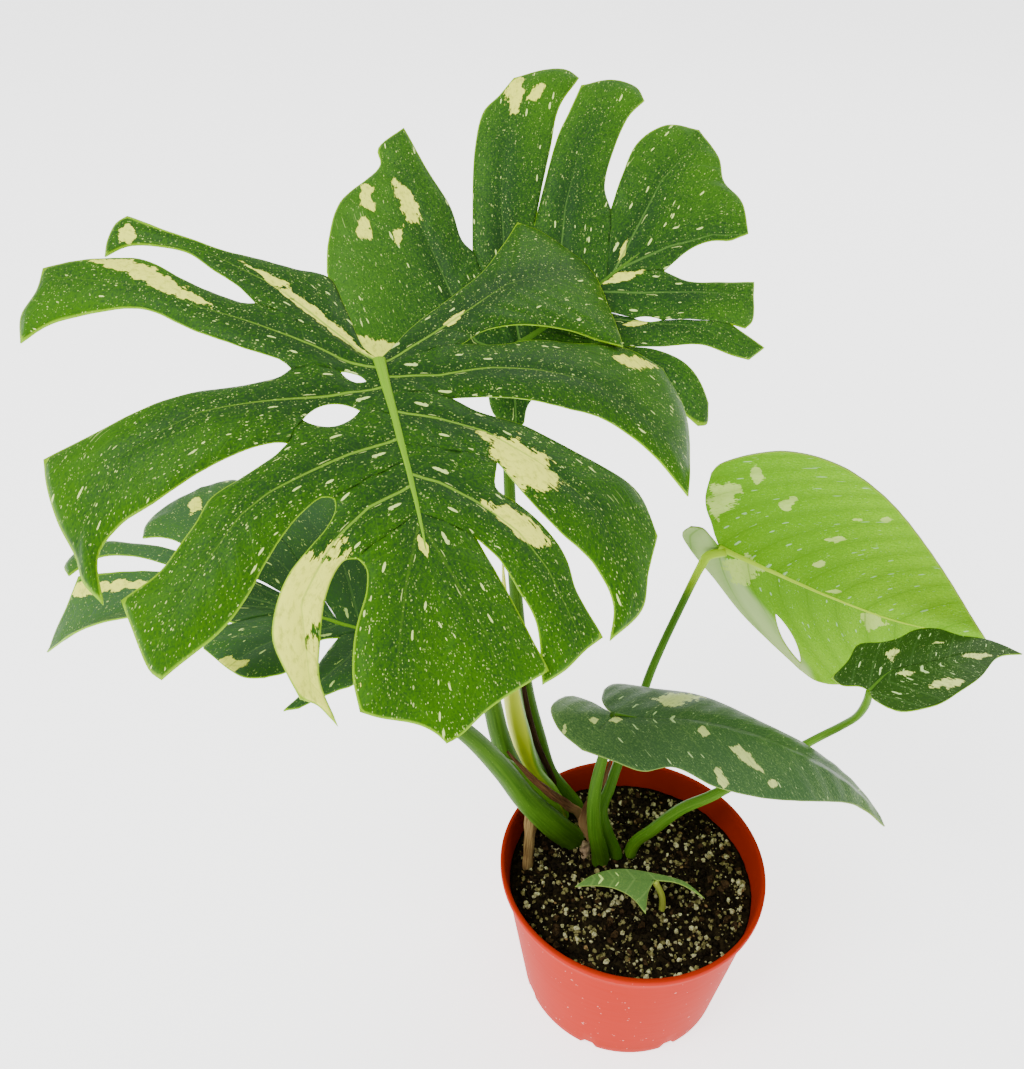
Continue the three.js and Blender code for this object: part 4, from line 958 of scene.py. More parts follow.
class BladeFinish(Finish):
    """A blade's finish, laid on in coats. Its grain UV follows the side veins and its plan UV is flat.

    heart and reach, in millimetres, say round which point the blade has its deep colour and how far out;
    on the front leaf that colour holds a painted sheen as well, and on the left leaf it is painted light.
    """

    def __init__(self, name, heart, reach):
        super().__init__(name)
        self.grain = self.uv("grain")
        self.plan = self.uv("plan")
        self.along, self.across, _ = self.split(self.vector("MULTIPLY", self.grain, (UV_SPAN,) * 3))
        self.beside = self.math("ABSOLUTE", self.across)
        self.cloud = self.noise(self.plan, 3.4, 3.0)
        self.mottle = self.streaks(self.grain, 34, 80, 3.0, 0.6)
        middle = (heart[0] / UV_SPAN, heart[1] / UV_SPAN, 0)
        self.outward = self.rise(self.vector("DISTANCE", self.plan, middle), 0.45, reach / UV_SPAN)

    def greens(self, deep, fresh, side_veins):
        """Deep to fresh green, in clouds, mottling and stipple, with painted shade next to a lobe's own side
        vein.
        """
        share = self.plus(self.times(self.outward, 0.50), self.times(self.cloud, 0.60))
        if not side_veins:
            # Painted shade: darker next to the side vein, where its sunk hollow would be in shade, lighter
            # towards the crests.
            share = self.plus(share, self.times(self.rise(self.beside, 1.0, 13.0), 0.25))
        share = self.plus(share, self.scaled(self.mottle, 1.3, -0.65))
        share = self.plus(share, self.scaled(self.noise(self.plan, 95.0, 2.0), 1.5, -0.75))
        return self.mix(self.rise(share, 0.10, 1.35), deep, fresh)

    def speck_layer(self, spacing, share, size, shift, wobble):
        """Specks in a share of the cells, and a tone for each of them."""
        scale = (UV_SPAN / spacing[0], UV_SPAN / spacing[1], 1)
        spots = self.stretched(self.grain, scale, (shift, shift * 0.7, 0))
        cells = self.node("TexVoronoi", {"Vector": spots, "Scale": 1.0, "Randomness": 1.0})
        pick = self.node("SeparateColor", {"Color": cells.outputs["Color"]}).outputs
        reach = self.times(self.rise(pick[0], 1 - share, 1.0), size)
        ragged = self.plus(cells.outputs["Distance"], self.scaled(wobble, 0.30, -0.15))
        return self.rise(self.minus(reach, ragged), -0.015, 0.03), pick[1]

    def specked(self, green, fresh, pale, specks, flecks):
        """Fine specks, and longer flecks that stay off the side veins."""
        wobble = self.streaks(self.grain, 45, 120, 2.0, 0.6)
        crowd = self.rise(self.noise(self.plan, 7.0, 2.0), 0.30, 0.62)
        dull = between(pale, fresh, 0.35)
        for spacing, share, shift, bright in SPECKS:
            spots, tone = self.speck_layer(spacing, share, SPECK_SIZE, shift, wobble)
            strength = self.times(spots, self.scaled(crowd, 0.6, 0.4))
            strength = self.times(strength, specks * bright)
            green = self.mix(strength, green, self.mix(self.rise(tone, 0.2, 0.8), dull, pale))
        for spacing, share, shift in FLECKS:
            fleck, _ = self.speck_layer(spacing, flecks * share, FLECK_SIZE, shift, wobble)
            fleck = self.times(fleck, self.rise(self.beside, 0.9, 1.6))
            green = self.mix(fleck, green, pale)
        return green

    def patched(self, green, fresh, cream, trim):
        """The large cream patches, ragged and clouded with green; trim makes them smaller."""
        jag = self.streaks(self.grain, 13, 75, 4.0, 0.7)
        patch = self.plus(self.attribute("cream"), self.scaled(jag, 1.6, -0.72 - trim))
        patch = self.plus(patch, self.scaled(self.noise(self.plan, 17.0, 3.0), 2.0, -1.0))
        patch = self.rise(patch, -0.04, 0.04)
        faint = self.streaks(self.grain, 28, 50, 4.0, 0.65)
        tint = self.mix(self.rise(faint, 0.46, 0.70), cream, between(cream, fresh, 0.62))
        return self.mix(patch, green, tint), patch

    def veined(self, green, tint, side_veins, strength, banding):
        """Fine branch veins, pale bands if any, and side veins that thin and fade outwards."""
        slant = self.minus(self.along, self.times(self.beside, BRANCH_SLANT))
        fine = self.fall(self.math("PINGPONG", slant, BRANCH_VEINS / 2), 0.10, 0.60)
        green = self.mix(self.times(fine, 0.05), green, tint)
        line = self.math("PINGPONG", self.across, side_veins / 2) if side_veins else self.beside
        if banding:
            band = self.fall(line, 0.5, 0.38 * side_veins)
            green = self.mix(self.times(band, self.times(self.cloud, banding)), green, tint)
        slim = self.math("MAXIMUM", self.scaled(self.along, -0.0070, 1.00), 0.24)
        vein = self.fall(self.math("DIVIDE", line, slim), 0.35, 1.0)
        vein = self.times(vein, self.scaled(self.fall(self.along, 15.0, 110.0), 0.80, 0.15))
        vein = self.times(vein, self.times(self.attribute("vein"), strength))
        return self.mix(vein, green, tint), vein, fine

    def rimmed(self, green, tint):
        """A pale rim, broader away from the heart of the leaf."""
        broad = self.scaled(self.outward, 0.95, 0.30)
        margin = self.fall(self.math("DIVIDE", self.attribute("rim"), broad), 0.2, 1.0)
        return self.mix(self.times(margin, 0.85), green, tint)


def blade_finish(name, deep, fresh, vein_tint, cream, rim_tint, specks=1.0, flecks=0.10, side_veins=0.0,
                 vein_strength=0.8, rough=0.42, gloss=0.10, heart=(-10.0, 20.0), reach=190.0, trim=0.0,
                 painted_sheen=None, banding=0.0):
    """A variegated blade: two greens, painted shade beside the lobes' own side veins, specks along the grain,
    cream patches, veins, a pale rim, and a painted sheen in a given grey-green over the sheen patches.

    side_veins is the gap between the side veins of a leaf whose lobes have none of their own.
    """
    finish = BladeFinish(name, heart, reach)
    pale = (0.72 * cream[0], 0.88 * cream[1], min(2.2 * cream[2], 0.34 * cream[1]))
    green = finish.greens(deep, fresh, side_veins)
    green = finish.specked(green, fresh, pale, specks, flecks)
    # A painted sheen: the given grey-green over the sheen patches, standing in for a glancing reflection.
    if painted_sheen:
        green = finish.mix(finish.rise(finish.attribute("painted_sheen"), -0.15, 0.25), green, painted_sheen)
    green, patch = finish.patched(green, fresh, cream, trim)
    green, vein, fine = finish.veined(green, vein_tint, side_veins, vein_strength, banding)
    green = finish.rimmed(green, rim_tint)
    relief = finish.scaled(vein, -0.6, finish.times(fine, -0.25))
    relief = finish.plus(relief, finish.times(finish.mottle, 0.5))
    relief = finish.plus(relief, finish.times(patch, 0.12))
    return finish.done(Base_Color=green, Roughness=rough, Normal=finish.bump(relief, 0.45, 0.0007),
                       Specular_IOR_Level=gloss, Specular_Tint=LEAF_SHINE)


def stalk_finish(name, dark, light, freckle, rough=0.42, gloss=0.14, knee=None):
    """Smooth stalk skin with fine streaks and pale freckles; knee is the colour of a long one's top."""
    finish = Finish(name)
    grain = finish.uv("grain")
    streaks = finish.streaks(grain, 2.5, 26, 3.0, 0.6)
    spots = finish.streaks(grain, 55, 40)
    tint = finish.mix(finish.rise(streaks, 0.2, 0.8), dark, light)
    tint = finish.mix(finish.times(finish.rise(spots, 0.64, 0.7), 0.4), tint, freckle)
    if knee:
        along = finish.split(grain)["X"]
        tint = finish.mix(finish.rise(along, 1.95, 2.20), tint, knee)
    return finish.done(Base_Color=tint, Roughness=rough, Normal=finish.bump(streaks, 0.12, 0.0005),
                       Specular_IOR_Level=gloss, Specular_Tint=STALK_SHINE)


def furled_finish():
    """The rolled new leaf: cream, yellow and green bands wound round it."""
    finish = Finish("rolled_leaf")
    grain = finish.uv("grain")
    along, turn, _ = finish.split(grain)
    streaks = finish.streaks(grain, 3, 30, 3.0)
    wound = finish.math("FRACT", finish.plus(turn, finish.times(along, 0.12)))
    wound = finish.plus(wound, finish.scaled(streaks, 0.10, -0.05))
    tint = finish.mix(finish.rise(wound, 0.16, 0.26), (0.10, 0.24, 0.01), (0.50, 0.58, 0.02))
    tint = finish.mix(finish.rise(wound, 0.40, 0.50), tint, (0.80, 0.85, 0.10))
    tint = finish.mix(finish.rise(wound, 0.62, 0.68), tint, (0.18, 0.34, 0.01))
    lap = finish.fall(finish.math("ABSOLUTE", finish.minus(wound, 0.69)), 0.0, 0.03)
    return finish.done(Base_Color=tint, Roughness=0.4, Normal=finish.bump(lap, -0.6, 0.001),
                       Specular_IOR_Level=0.12)


def dry_finish(name, dark, light, foot=None):
    """Dry fibrous skin; foot is a paler colour that it has near the soil."""
    finish = Finish(name)
    grain = finish.uv("grain")
    streaks = finish.streaks(grain, 6, 22, 5.0, 0.7)
    tint = finish.mix(finish.rise(streaks, 0.3, 0.7), dark, light)
    if foot:
        low = finish.fall(finish.split(grain)["X"], 0.38, 0.62)
        tint = finish.mix(low, tint, finish.mix(streaks, light, foot))
    return finish.done(Base_Color=tint, Roughness=0.8, Normal=finish.bump(streaks, 0.8, 0.001),
                       Specular_IOR_Level=0.05)


# ---- Stalks ----
STALKS = [
    dict(name="stalk_front", tint="stalk", radii=(5.5, 6.3, 5.5, 3.4, 3.2),
         route=[(-48, 40, 76), (-48, 40, 92), (-53, 38, 111), (-68, 36, 134), (-78.5, 36, 158),
                (-84.5, 36, 181), (-88.5, 36, 204), (-104, 29, 290), (-128, 20, 390)], leaf=LEAF_FRONT,
         seat=(0, 2)),
    dict(name="stalk_back", tint="stalk", radii=(5, 4.7, 4.2, 3.4, 3),
         route=[(-31.5, 53.5, 76), (-31.5, 53.5, 92), (-39, 57, 102), (-50, 61, 117), (-59, 65, 149),
                (-67, 70, 183), (-72, 76, 222), (-78, 88, 290), (-82, 104, 370)], leaf=LEAF_BACK,
         seat=(0, 2)),
    dict(name="stalk_left", tint="stalk", radii=(7.8, 8.2, 6, 3.8, 3.2),
         route=[(-36, 27, 76), (-36, 27, 92), (-43, 23, 105), (-51, 19, 119), (-68, 12, 150),
                (-81, 6, 180), (-98.5, -2, 215), (-117, -14, 248), (-133, -26, 284)], leaf=LEAF_LEFT,
         seat=(0, 2)),
    dict(name="stalk_right", tint="knee_stalk", radii=(4.3, 3.4, 2.8, 2.5, 2.6),
         route=[(-8, 16, 76), (-8, 16, 92), (-14, 20.5, 107), (-18, 27, 121), (-13.5, 34, 134),
                (-9, 41, 147), (1, 54, 174), (11, 70, 203), (30, 90, 245), (39, 98, 264),
                (43, 101, 270)], leaf=LEAF_RIGHT, seat=(5, 2)),
    dict(name="stalk_far_right", tint="bright_stalk", radii=(4, 3.8, 3.2, 2.4, 2),
         route=[(2, 18.5, 76), (2, 18.5, 92), (5, 19, 101), (14, 19, 112), (31, 20, 132),
                (49, 20, 145), (78, 24, 166), (106, 24, 192), (117, 20, 207), (122, 15, 220),
                (124, 13, 232)], leaf=LEAF_FAR, seat=(0, 1.2)),
    dict(name="stalk_low", tint="stalk", radii=(6, 4.4, 3.8, 3, 2.8),
         route=[(-18, 11.5, 76), (-18, 11.5, 92), (-20, 9.5, 106), (-23, 8.5, 120), (-25.7, 8, 144),
                (-25.6, 7, 169), (-23, 6, 194), (-20.5, 5, 213)], leaf=LEAF_LOW, seat=(0, 1.2)),
    dict(name="stalk_first", tint="young_growth", radii=(2.4, 2.2, 2, 1.9, 1.8),
         route=[(18, -22.5, 76), (18, -22.5, 92), (16.5, -22.5, 103)], leaf=LEAF_FIRST, seat=(0, 0.6)),
]

FURLED = dict(name="furled_leaf", radii=(2.8, 4.6, 6.8, 6.4, 3.8, 0.6),
              route=[(-40.5, 48, 76), (-40.5, 48, 92), (-48, 49.5, 110), (-63, 51, 133), (-71, 52, 165),
                     (-76, 54, 192), (-80, 58, 240), (-83, 61, 291)])


SHEATHS = [              # the green wing along the broad left stalk, the dark lining by the rolled leaf
    dict(name="sheath_wing", slot="stalk", radii=(1.0, 3.2, 4.0, 4.2, 4.0, 3.6, 3.0),
         route=[(-90, 3, 206), (-83, 6.5, 190), (-76, 10.5, 179), (-66, 15.5, 161), (-56, 20.5, 143),
                (-48, 25, 124), (-43, 28, 106)]),
    dict(name="sheath_lining", slot="dry_sheath", radii=(1.4, 2.0, 2.2, 2.0, 1.6, 0.5),
         route=[(-42, 54.5, 100), (-49.5, 56.5, 120), (-60, 58, 149), (-67.5, 61, 183), (-70.5, 64, 205),
                (-72.5, 68, 226)]),
]

DRY_PIECES = [
    dict(name="dry_sheath_left", radii=(2.4, 2.9, 2.8, 2.4, 0.7), thin=0.5,
         route=[(-26.5, 38, 76), (-26.5, 38, 92), (-33, 34, 112), (-42, 25, 129), (-51, 19, 145),
                (-60, 14, 161), (-71, 8.5, 181), (-79, 6.5, 196)]),
    dict(name="dry_sheath_middle", radii=(1.6, 2.4, 3.2, 3.0, 0.8), thin=0.45,
         route=[(-22.5, 20, 76), (-22.5, 20, 92), (-27, 21.5, 108), (-30, 22, 118), (-28, 19, 137),
                (-21.5, 15.5, 156), (-19, 14, 171), (-17.3, 14, 184)]),
    dict(name="crown_stub", radii=(3.2, 3.6, 3.4, 2.4), thin=0.9,
         route=[(-27.5, 17, 76), (-27.5, 17, 92), (-28, 17.5, 101)]),
]

ROOT_STUB = dict(name="root_stub", radii=(3, 3.2, 3.8, 4.2),
                 route=[(-65, 8, 76), (-65, 8, 92), (-63, 26, 121)])

STALK_STEPS, FURLED_STEPS, SHEATH_STEPS, DRY_STEPS, ROOT_STEPS = 90, 80, 60, 50, 40
KNEE_AT, KNEE_HALF, KNEE_SWELL = 0.95, 0.035, 0.16       # shares of a stalk's length and thickness


def along_route(piece, steps):
    """The points and radii of a tube that follows a piece's route."""
    return smooth_line(piece["route"], steps), profile(piece["radii"], steps)


def make_stalk(stalk, finishes):
    """A leaf stalk from the mix to the seat under its leaf, with a slight knee below the blade."""
    leaf = stalk["leaf"]
    along, _, normal = leaf_axes(leaf["turn"])
    forward, below = stalk["seat"]
    top = np.array(leaf["at"], float) + along * forward - normal * below
    centres = smooth_line([*stalk["route"], tuple(top)], STALK_STEPS)
    run = np.linspace(0, 1, STALK_STEPS + 1)
    knee = KNEE_SWELL * np.exp(-((run - KNEE_AT) / KNEE_HALF) ** 2)
    radii = profile(stalk["radii"], STALK_STEPS) * (1 + knee)

    def ribbed(angle, share):
        foot = max(0.0, 1 - share * 3)
        return 1 + foot * 0.10 * math.cos(2 * angle + 0.6) + 0.012 * math.sin(5 * angle + 9 * share)

    skin = finishes[stalk["tint"]]
    piece = make_tube(stalk["name"] + "_skin", skin, centres, radii, STALK_SIDES, shape=ribbed)
    settle(piece, "young_growth" if stalk["tint"] == "young_growth" else "stalk", stalk["name"])


def make_furled():
    """The furled new leaf, a spindle whose outer edge laps over the turn before it."""
    def rolled(angle, share):
        return 1 + 0.10 * (((angle / (2 * math.pi) + share * 0.6) % 1.0) - 0.5)

    piece = make_tube("rolled_new_leaf", furled_finish(), *along_route(FURLED, FURLED_STEPS), FURLED_SIDES,
                      shape=rolled)
    settle(piece, "young_growth", FURLED["name"])


def make_sheaths(green):
    brown = dry_finish("sheath_lining_brown", (0.010, 0.004, 0.002), (0.060, 0.028, 0.012))
    for sheath, skin in zip(SHEATHS, (green, brown)):
        piece = make_tube(sheath["name"], skin, *along_route(sheath, SHEATH_STEPS), SHEATH_SIDES,
                          flat=((0.3, -0.8, 0.4), 0.5, 0.5))
        settle(piece, sheath["slot"])


def make_dry_pieces():
    """The frayed brown sheath strips, the stub of the crown, and the knotted root stub."""
    brown = dry_finish("dry_sheath_brown", (0.020, 0.007, 0.003), (0.15, 0.070, 0.026), (0.50, 0.31, 0.13))
    beige = dry_finish("crown_beige", (0.20, 0.13, 0.07), (0.50, 0.36, 0.22))
    bark = dry_finish("root_bark", (0.10, 0.055, 0.015), (0.42, 0.28, 0.11))
    for dry in DRY_PIECES:
        phase = random.Random(dry["name"]).uniform(0, 6)

        def frayed(angle, share):
            return 1 + 0.22 * math.sin(3 * angle + phase + 14 * share) + 0.12 * math.sin(31 * share + angle)

        piece = make_tube(dry["name"] + "_strip", beige if dry["name"] == "crown_stub" else brown,
                          *along_route(dry, DRY_STEPS), SHEATH_SIDES,
                          flat=((0.5, -0.8, 0.3), dry["thin"], dry["thin"]), shape=frayed)
        settle(piece, "dry_sheath", dry["name"])

    def knotted(angle, share):
        return 1 + 0.08 * math.sin(2 * angle + 8 * share) + 0.06 * math.sin(25 * share)

    piece = make_tube("root_stub_bark", bark, *along_route(ROOT_STUB, ROOT_STEPS), ROOT_SIDES, shape=knotted)
    settle(piece, "root", ROOT_STUB["name"])


# ---- Pot ----
POT_HEIGHT = 108
RIM_RADIUS = 82.5
BASE_RADIUS = 65
WALL_SPREAD = 15.7       # how much wider the wall is at the top than at the base
WALL = 1.5
SOIL_LEVEL = 89
POT_TURNS = 160
NOTCHES = 8              # drain notches round the base
NOTCH_HALF = 4.2         # degrees
NOTCH_LIFT = 3.4
FOOT_INNER, FOOT_HEIGHT = 56, 2.8        # the foot that the notches cut lies outside and below these
RIPPLE_FROM, RIPPLE = 95, 0.25           # the height above which the rim waves, and by how much


def wall_radius(z):
    return BASE_RADIUS + WALL_SPREAD * z / POT_HEIGHT


def pot_finish():
    """Coral plastic: cloudy, paler specks, darker towards the foot, and deeper colour on the lip and inside.
    """
    finish = Finish("coral_plastic")
    place = finish.place()
    z = finish.split(place)["Z"]
    cloud = finish.noise(place, 18.0, 3.0)
    specks = finish.noise(place, 420.0, 1.0)
    tint = finish.mix(cloud, (0.42, 0.014, 0.003), (0.49, 0.019, 0.005))
    low = finish.times(finish.fall(z, 0.0, 0.02), 0.3)
    tint = finish.mix(low, tint, (0.34, 0.024, 0.008))
    tint = finish.mix(finish.times(finish.rise(specks, 0.74, 0.78), 0.7), tint, (0.7, 0.45, 0.38))
    reach = finish.vector("LENGTH", finish.vector("MULTIPLY", place, (1, 1, 0)))
    wall = finish.scaled(z, WALL_SPREAD / POT_HEIGHT, (BASE_RADIUS - WALL * 0.6) * MM)
    inside = finish.rise(finish.minus(wall, reach), -0.0002, 0.0002)
    lip = finish.rise(z, 0.1066, 0.1072)
    tint = finish.mix(finish.math("MAXIMUM", inside, lip), tint, (0.36, 0.020, 0.003))
    ripple = finish.noise(finish.stretched(place, (1, 1, 6)), 40.0, 2.0)
    return finish.done(Base_Color=tint, Roughness=0.5, Normal=finish.bump(ripple, 0.12, 0.001),
                       Specular_IOR_Level=0.03, Specular_Tint=(1.0, 0.35, 0.25))


def make_pot():
    """The pot's section spun round, with drain notches in its foot and a slightly wavy rim."""
    foot = [(0, 3), (52, 3), (57, 2.5), (60, 0), (64, 0), (65.2, 1.2)]
    outer = [(wall_radius(z), z) for z in (6, 20, 40, 60, 80, 95, 101.5)]
    rim = [(81.2, 102.3), (82.3, 103.0), (RIM_RADIUS, 104.2), (RIM_RADIUS, 106.6), (82.1, 107.6),
           (81.2, POT_HEIGHT), (80.2, 107.8), (79.6, 106.8), (wall_radius(102) - WALL, 102)]
    inner = [(wall_radius(z) - WALL, z) for z in (90, 60, 30, 8)] + [(62, 5), (0, 5)]
    bm = bmesh.new()
    verts = [bm.verts.new((radius * MM, 0, z * MM)) for radius, z in foot + outer + rim + inner]
    edges = [bm.edges.new(pair) for pair in zip(verts, verts[1:])]
    bmesh.ops.spin(bm, geom=verts + edges, axis=(0, 0, 1), cent=(0, 0, 0), dvec=(0, 0, 0),
                   angle=2 * math.pi, steps=POT_TURNS, use_merge=True)
    bmesh.ops.remove_doubles(bm, verts=bm.verts, dist=0.00002)
    bmesh.ops.recalc_face_normals(bm, faces=bm.faces)
    pitch = 360 / NOTCHES
    for vert in bm.verts:
        radius, height = math.hypot(vert.co.x, vert.co.y) / MM, vert.co.z / MM
        angle = math.atan2(vert.co.y, vert.co.x)
        off_notch = abs(math.degrees(angle) % pitch - pitch / 2)
        if radius > FOOT_INNER and height < FOOT_HEIGHT and off_notch < NOTCH_HALF:
            vert.co.z += NOTCH_LIFT * MM
        if height > RIPPLE_FROM:
            vert.co.z += RIPPLE * math.sin(3 * angle + 0.7) * MM
    settle(finished("pot_shell", bm, [pot_finish()]), "pot", "pot")


# ---- Potting mix ----
SOIL_TURNS, SOIL_RINGS = 120, 52
SOIL_HEART = 0.6         # the radius of the first ring
SOIL_BOTTOM = 6          # the height of the mix's underside


def soil_height(x, y):
    """The surface that the CAD mix has, in millimetres."""
    share = min(1.0, math.hypot(x, y) / (wall_radius(SOIL_LEVEL) - WALL))
    lumps = 1.3 * math.sin(x / 9 + 0.7) * math.cos(y / 8) + 0.8 * math.sin((x - y) / 5.2)
    mound = 2.2 * math.exp(-((x + 25) ** 2 + (y - 22) ** 2) / 900)
    return SOIL_LEVEL + (1 - share ** 4) * (lumps + mound)


def soil_finish():
    """Dark crumbs with brown lumps."""
    finish = Finish("potting_mix")
    place = finish.place()
    crumbs = finish.noise(place, 330.0, 4.0, 0.7)
    lumps = finish.noise(place, 90.0, 3.0)
    tint = finish.mix(finish.rise(crumbs, 0.35, 0.7), (0.004, 0.003, 0.002), (0.026, 0.018, 0.008))
    tint = finish.mix(finish.rise(lumps, 0.55, 0.8), tint, (0.040, 0.028, 0.010))
    return finish.done(Base_Color=tint, Roughness=0.85, Normal=finish.bump(crumbs, 1.0, 0.002),
                       Specular_IOR_Level=0.03)


def grain_finish(name, dark, light, rough):
    finish = Finish(name)
    spots = finish.noise(finish.place(), 600.0, 3.0, 0.6)
    tint = finish.mix(finish.rise(spots, 0.35, 0.65), dark, light)
    return finish.done(Base_Color=tint, Roughness=rough, Normal=finish.bump(spots, 0.6, 0.0005),
                       Specular_IOR_Level=0.04)


def widened(bm, reach, height=0.0):
    """Extrudes the open edge of a round sheet out or in to a radius, at a height, in millimetres."""
    for vert in extruded(bm, open_edges(bm)):
        way = Vector((vert.co.x, vert.co.y, 0)).normalized()
        vert.co = way * reach * MM + Vector((0, 0, height * MM))


def make_soil():
    """The mix: a disc of rings with a rough top, closed down to the bottom of the pot."""
    radius = wall_radius(SOIL_LEVEL) - WALL - 0.3
    bm = bmesh.new()
    bmesh.ops.create_circle(bm, cap_ends=True, radius=SOIL_HEART * MM, segments=SOIL_TURNS)
    for step in range(1, SOIL_RINGS + 1):
        widened(bm, SOIL_HEART + (radius - SOIL_HEART) * step / SOIL_RINGS)
    for vert in bm.verts:
        x, y = vert.co.x / MM, vert.co.y / MM
        coarse = 1.7 * noise.noise(Vector((x / 3.1, y / 3.1, 5)))
        fine = 0.9 * noise.noise(Vector((x, y, 0)) / 1.3)
        vert.co.z = (soil_height(x, y) + (coarse + fine) * 0.8) * MM
    widened(bm, wall_radius(SOIL_BOTTOM) - WALL - 0.4, SOIL_BOTTOM)
    bmesh.ops.contextual_create(bm, geom=open_edges(bm))
    bmesh.ops.recalc_face_normals(bm, faces=bm.faces)
    settle(finished("potting_mix_body", bm, [soil_finish()]), "soil", "potting_soil")


def scatter_grains(name, count, sizes, squash, finish, seed, lift, gather=0.0):
    """Small bits lying on the mix. gather leaves out that share of them in bare places."""
    rng = random.Random(seed)
    limit = wall_radius(SOIL_LEVEL) - WALL - 2.5
    bm = bmesh.new()
    for _ in range(count):
        size = sizes[0] + (sizes[1] - sizes[0]) * rng.random() ** 2.2
        reach, angle = (limit - size / 2) * math.sqrt(rng.random()), rng.uniform(0, 2 * math.pi)
        x, y = reach * math.cos(angle), reach * math.sin(angle)
        if noise.noise(Vector((x / 11, y / 11, 3))) * 0.9 + 0.45 < gather * rng.random() * 1.6:
            continue
        turn = Matrix.Rotation(rng.uniform(0, 6.3), 4, "Z") @ Matrix.Rotation(rng.uniform(-0.5, 0.5), 4, "X")
        long, wide = rng.uniform(0.8, 1.3), rng.uniform(0.6, 1.0)
        stretch = Matrix.Diagonal((long, wide, squash * rng.uniform(0.7, 1.2), 1))
        place = Matrix.Translation((x * MM, y * MM, (soil_height(x, y) + lift * size) * MM))
        made = bmesh.ops.create_icosphere(bm, subdivisions=1, radius=size / 2 * MM,
                                          matrix=place @ turn @ stretch)["verts"]
        for vert in made:
            vert.co += Vector(rng.uniform(-0.12, 0.12) * size * MM for _ in range(3))
    bmesh.ops.recalc_face_normals(bm, faces=bm.faces)
    settle(finished(name, bm, [finish], smooth=False), "soil")


def make_mix_grains():
    """Crumbs, bark and perlite; the two pale kinds gather in patches."""
    pale = grain_finish("perlite", (0.23, 0.21, 0.09), (0.62, 0.60, 0.33), 0.8)
    olive = grain_finish("olive_bits", (0.07, 0.060, 0.016), (0.28, 0.25, 0.10), 0.8)
    tan = grain_finish("tan_bits", (0.10, 0.055, 0.020), (0.30, 0.19, 0.08), 0.8)
    bark = grain_finish("bark_bits", (0.012, 0.007, 0.003), (0.06, 0.034, 0.014), 0.7)
    dark = grain_finish("dark_crumbs", (0.003, 0.002, 0.001), (0.016, 0.011, 0.005), 0.75)
    scatter_grains("dark_crumbs", 1500, (1.2, 5.5), 0.8, dark, seed=3, lift=0.15)
    scatter_grains("bark_bits", 260, (1.5, 6.0), 0.45, bark, seed=5, lift=0.3)
    scatter_grains("tan_bits", 160, (0.8, 3.4), 0.5, tan, seed=7, lift=0.35)
    scatter_grains("olive_bits", 2000, (0.9, 3.8), 0.8, olive, seed=11, lift=0.35, gather=0.45)
    scatter_grains("perlite_grains", 1000, (0.9, 4.2), 0.9, pale, seed=9, lift=0.35, gather=0.45)


# ---- Assembly ----
add_camera()
add_studio()

# Deep green near the front leaf's heart, paler and bluer than its own green: partly a painted sheen on the
# centre.
DEEP_GREEN_AND_SHEEN = (0.015, 0.050, 0.011)
FRESH_GREEN = (0.042, 0.150, 0.001)
VEIN_GREEN = (0.23, 0.45, 0.03)
CREAM = (0.95, 1.0, 0.11)
RIM_GREEN = (0.27, 0.52, 0.002)

variegated = blade_finish("variegated_blade", DEEP_GREEN_AND_SHEEN, FRESH_GREEN, VEIN_GREEN, CREAM, RIM_GREEN)
shaded_blade = blade_finish("shaded_blade", (0.015, 0.050, 0.012), (0.052, 0.165, 0.008), (0.11, 0.24, 0.04),
                            CREAM, RIM_GREEN, specks=0.7, flecks=0.13, vein_strength=0.7,
                            heart=(40.0, 10.0), reach=140.0)
young_blade = blade_finish("young_blade", (0.044, 0.108, 0.034), (0.150, 0.270, 0.066), (0.18, 0.31, 0.08),
                           (0.72, 0.82, 0.24), (0.22, 0.34, 0.06), specks=0.6, flecks=0.06,
                           side_veins=17.0, vein_strength=0.15, gloss=0.20, heart=(60.0, 0.0), reach=120.0,
                           trim=0.15)
# The pale grey-green deep colour is painted light round the heart, which lies in shade under the front leaf.
low_blade = blade_finish("low_blade", (0.042, 0.104, 0.038), (0.052, 0.160, 0.012), (0.12, 0.24, 0.06), CREAM,
                         RIM_GREEN, specks=0.7, flecks=0.12, vein_strength=0.5, heart=(40.0, -20.0),
                         reach=170.0)
far_blade = blade_finish("far_blade", (0.022, 0.062, 0.009), (0.052, 0.132, 0.010), (0.08, 0.17, 0.04),
                         (0.80, 0.90, 0.24), RIM_GREEN, specks=0.9, flecks=0.08, side_veins=12.0,
                         vein_strength=0.3, gloss=0.16, heart=(40.0, 0.0), reach=80.0, trim=0.40)
# The grey-green colour given last is a painted sheen for this leaf's turned-away strip.
pale_under = blade_finish("pale_underside", (0.100, 0.290, 0.003), (0.205, 0.460, 0.005),
                          (0.075, 0.22, 0.004), (0.44, 0.62, 0.12), (0.25, 0.42, 0.02), specks=0.6,
                          flecks=0.14, side_veins=19.0, vein_strength=0.4, rough=0.6, gloss=0.03,
                          heart=(0.0, 0.0), reach=120.0, painted_sheen=(0.34, 0.49, 0.17), banding=0.5)
under_green = blade_finish("leaf_underside_green", (0.06, 0.13, 0.02), (0.10, 0.20, 0.02),
                           (0.16, 0.30, 0.05), (0.40, 0.50, 0.16), RIM_GREEN, specks=0.5, flecks=0.05,
                           rough=0.55)
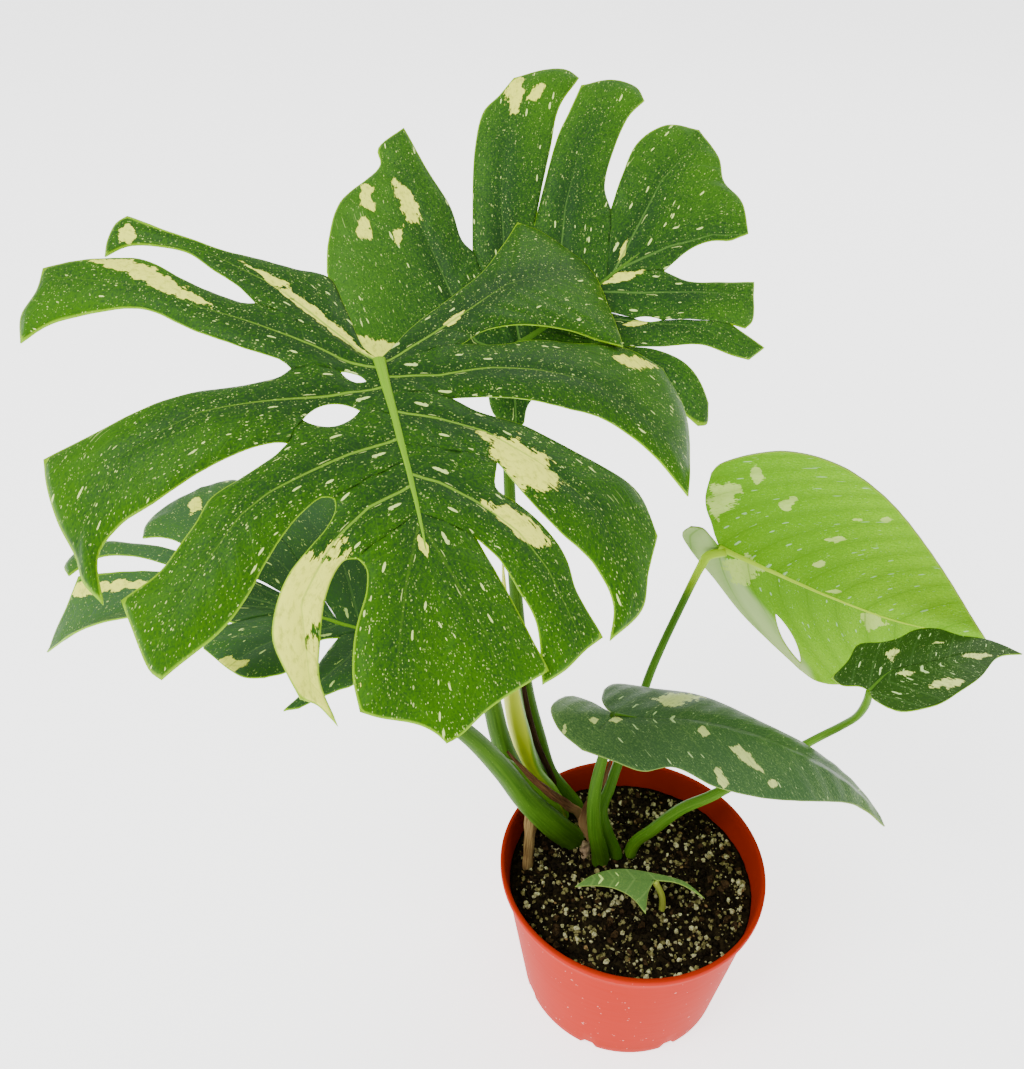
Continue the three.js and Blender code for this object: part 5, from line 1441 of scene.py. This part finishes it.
first_blade = blade_finish("first_blade", (0.10, 0.20, 0.05), (0.21, 0.37, 0.07), (0.28, 0.44, 0.12),
                           CREAM, (0.36, 0.52, 0.10), specks=0.2, flecks=0.02, side_veins=12.0,
                           vein_strength=0.3, rough=0.5, heart=(20.0, 0.0), reach=60.0)
rib_green = stalk_finish("midrib_green", (0.15, 0.37, 0.008), (0.24, 0.48, 0.02), (0.40, 0.55, 0.10),
                         gloss=0.08)
rib_dim = stalk_finish("midrib_dim", (0.05, 0.14, 0.012), (0.10, 0.23, 0.02), (0.2, 0.3, 0.06), gloss=0.1)
rib_gold = stalk_finish("midrib_gold", (0.32, 0.54, 0.006), (0.44, 0.66, 0.02), (0.5, 0.6, 0.12),
                        gloss=0.08)
STALK_SKINS = {
    "stalk": stalk_finish("stalk_skin", (0.028, 0.085, 0.005), (0.066, 0.160, 0.010), (0.16, 0.28, 0.04),
                          rough=0.5, gloss=0.09),
    "bright_stalk": stalk_finish("bright_stalk_skin", (0.045, 0.15, 0.006), (0.13, 0.28, 0.02),
                                 (0.25, 0.36, 0.10)),
    "knee_stalk": stalk_finish("knee_stalk_skin", (0.030, 0.100, 0.006), (0.075, 0.185, 0.012),
                               (0.16, 0.28, 0.04), knee=(0.36, 0.58, 0.01)),
    "young_growth": stalk_finish("young_stalk_skin", (0.30, 0.40, 0.03), (0.50, 0.58, 0.10),
                                 (0.6, 0.62, 0.25)),
}

LEAVES = [               # the leaf, its top, its underside and its midrib
    (LEAF_FRONT, variegated, under_green, rib_green),
    (LEAF_BACK, shaded_blade, under_green, rib_dim),
    (LEAF_LEFT, low_blade, under_green, rib_green),
    (LEAF_RIGHT, young_blade, pale_under, rib_gold),
    (LEAF_FAR, far_blade, under_green, rib_dim),
    (LEAF_LOW, young_blade, under_green, rib_dim),
    (LEAF_FIRST, first_blade, under_green, rib_dim),
]
for leaf_and_finishes in LEAVES:
    make_leaf(*leaf_and_finishes)
for stalk in STALKS:
    make_stalk(stalk, STALK_SKINS)
make_furled()
make_sheaths(STALK_SKINS["bright_stalk"])
make_dry_pieces()
make_pot()
make_soil()
make_mix_grains()
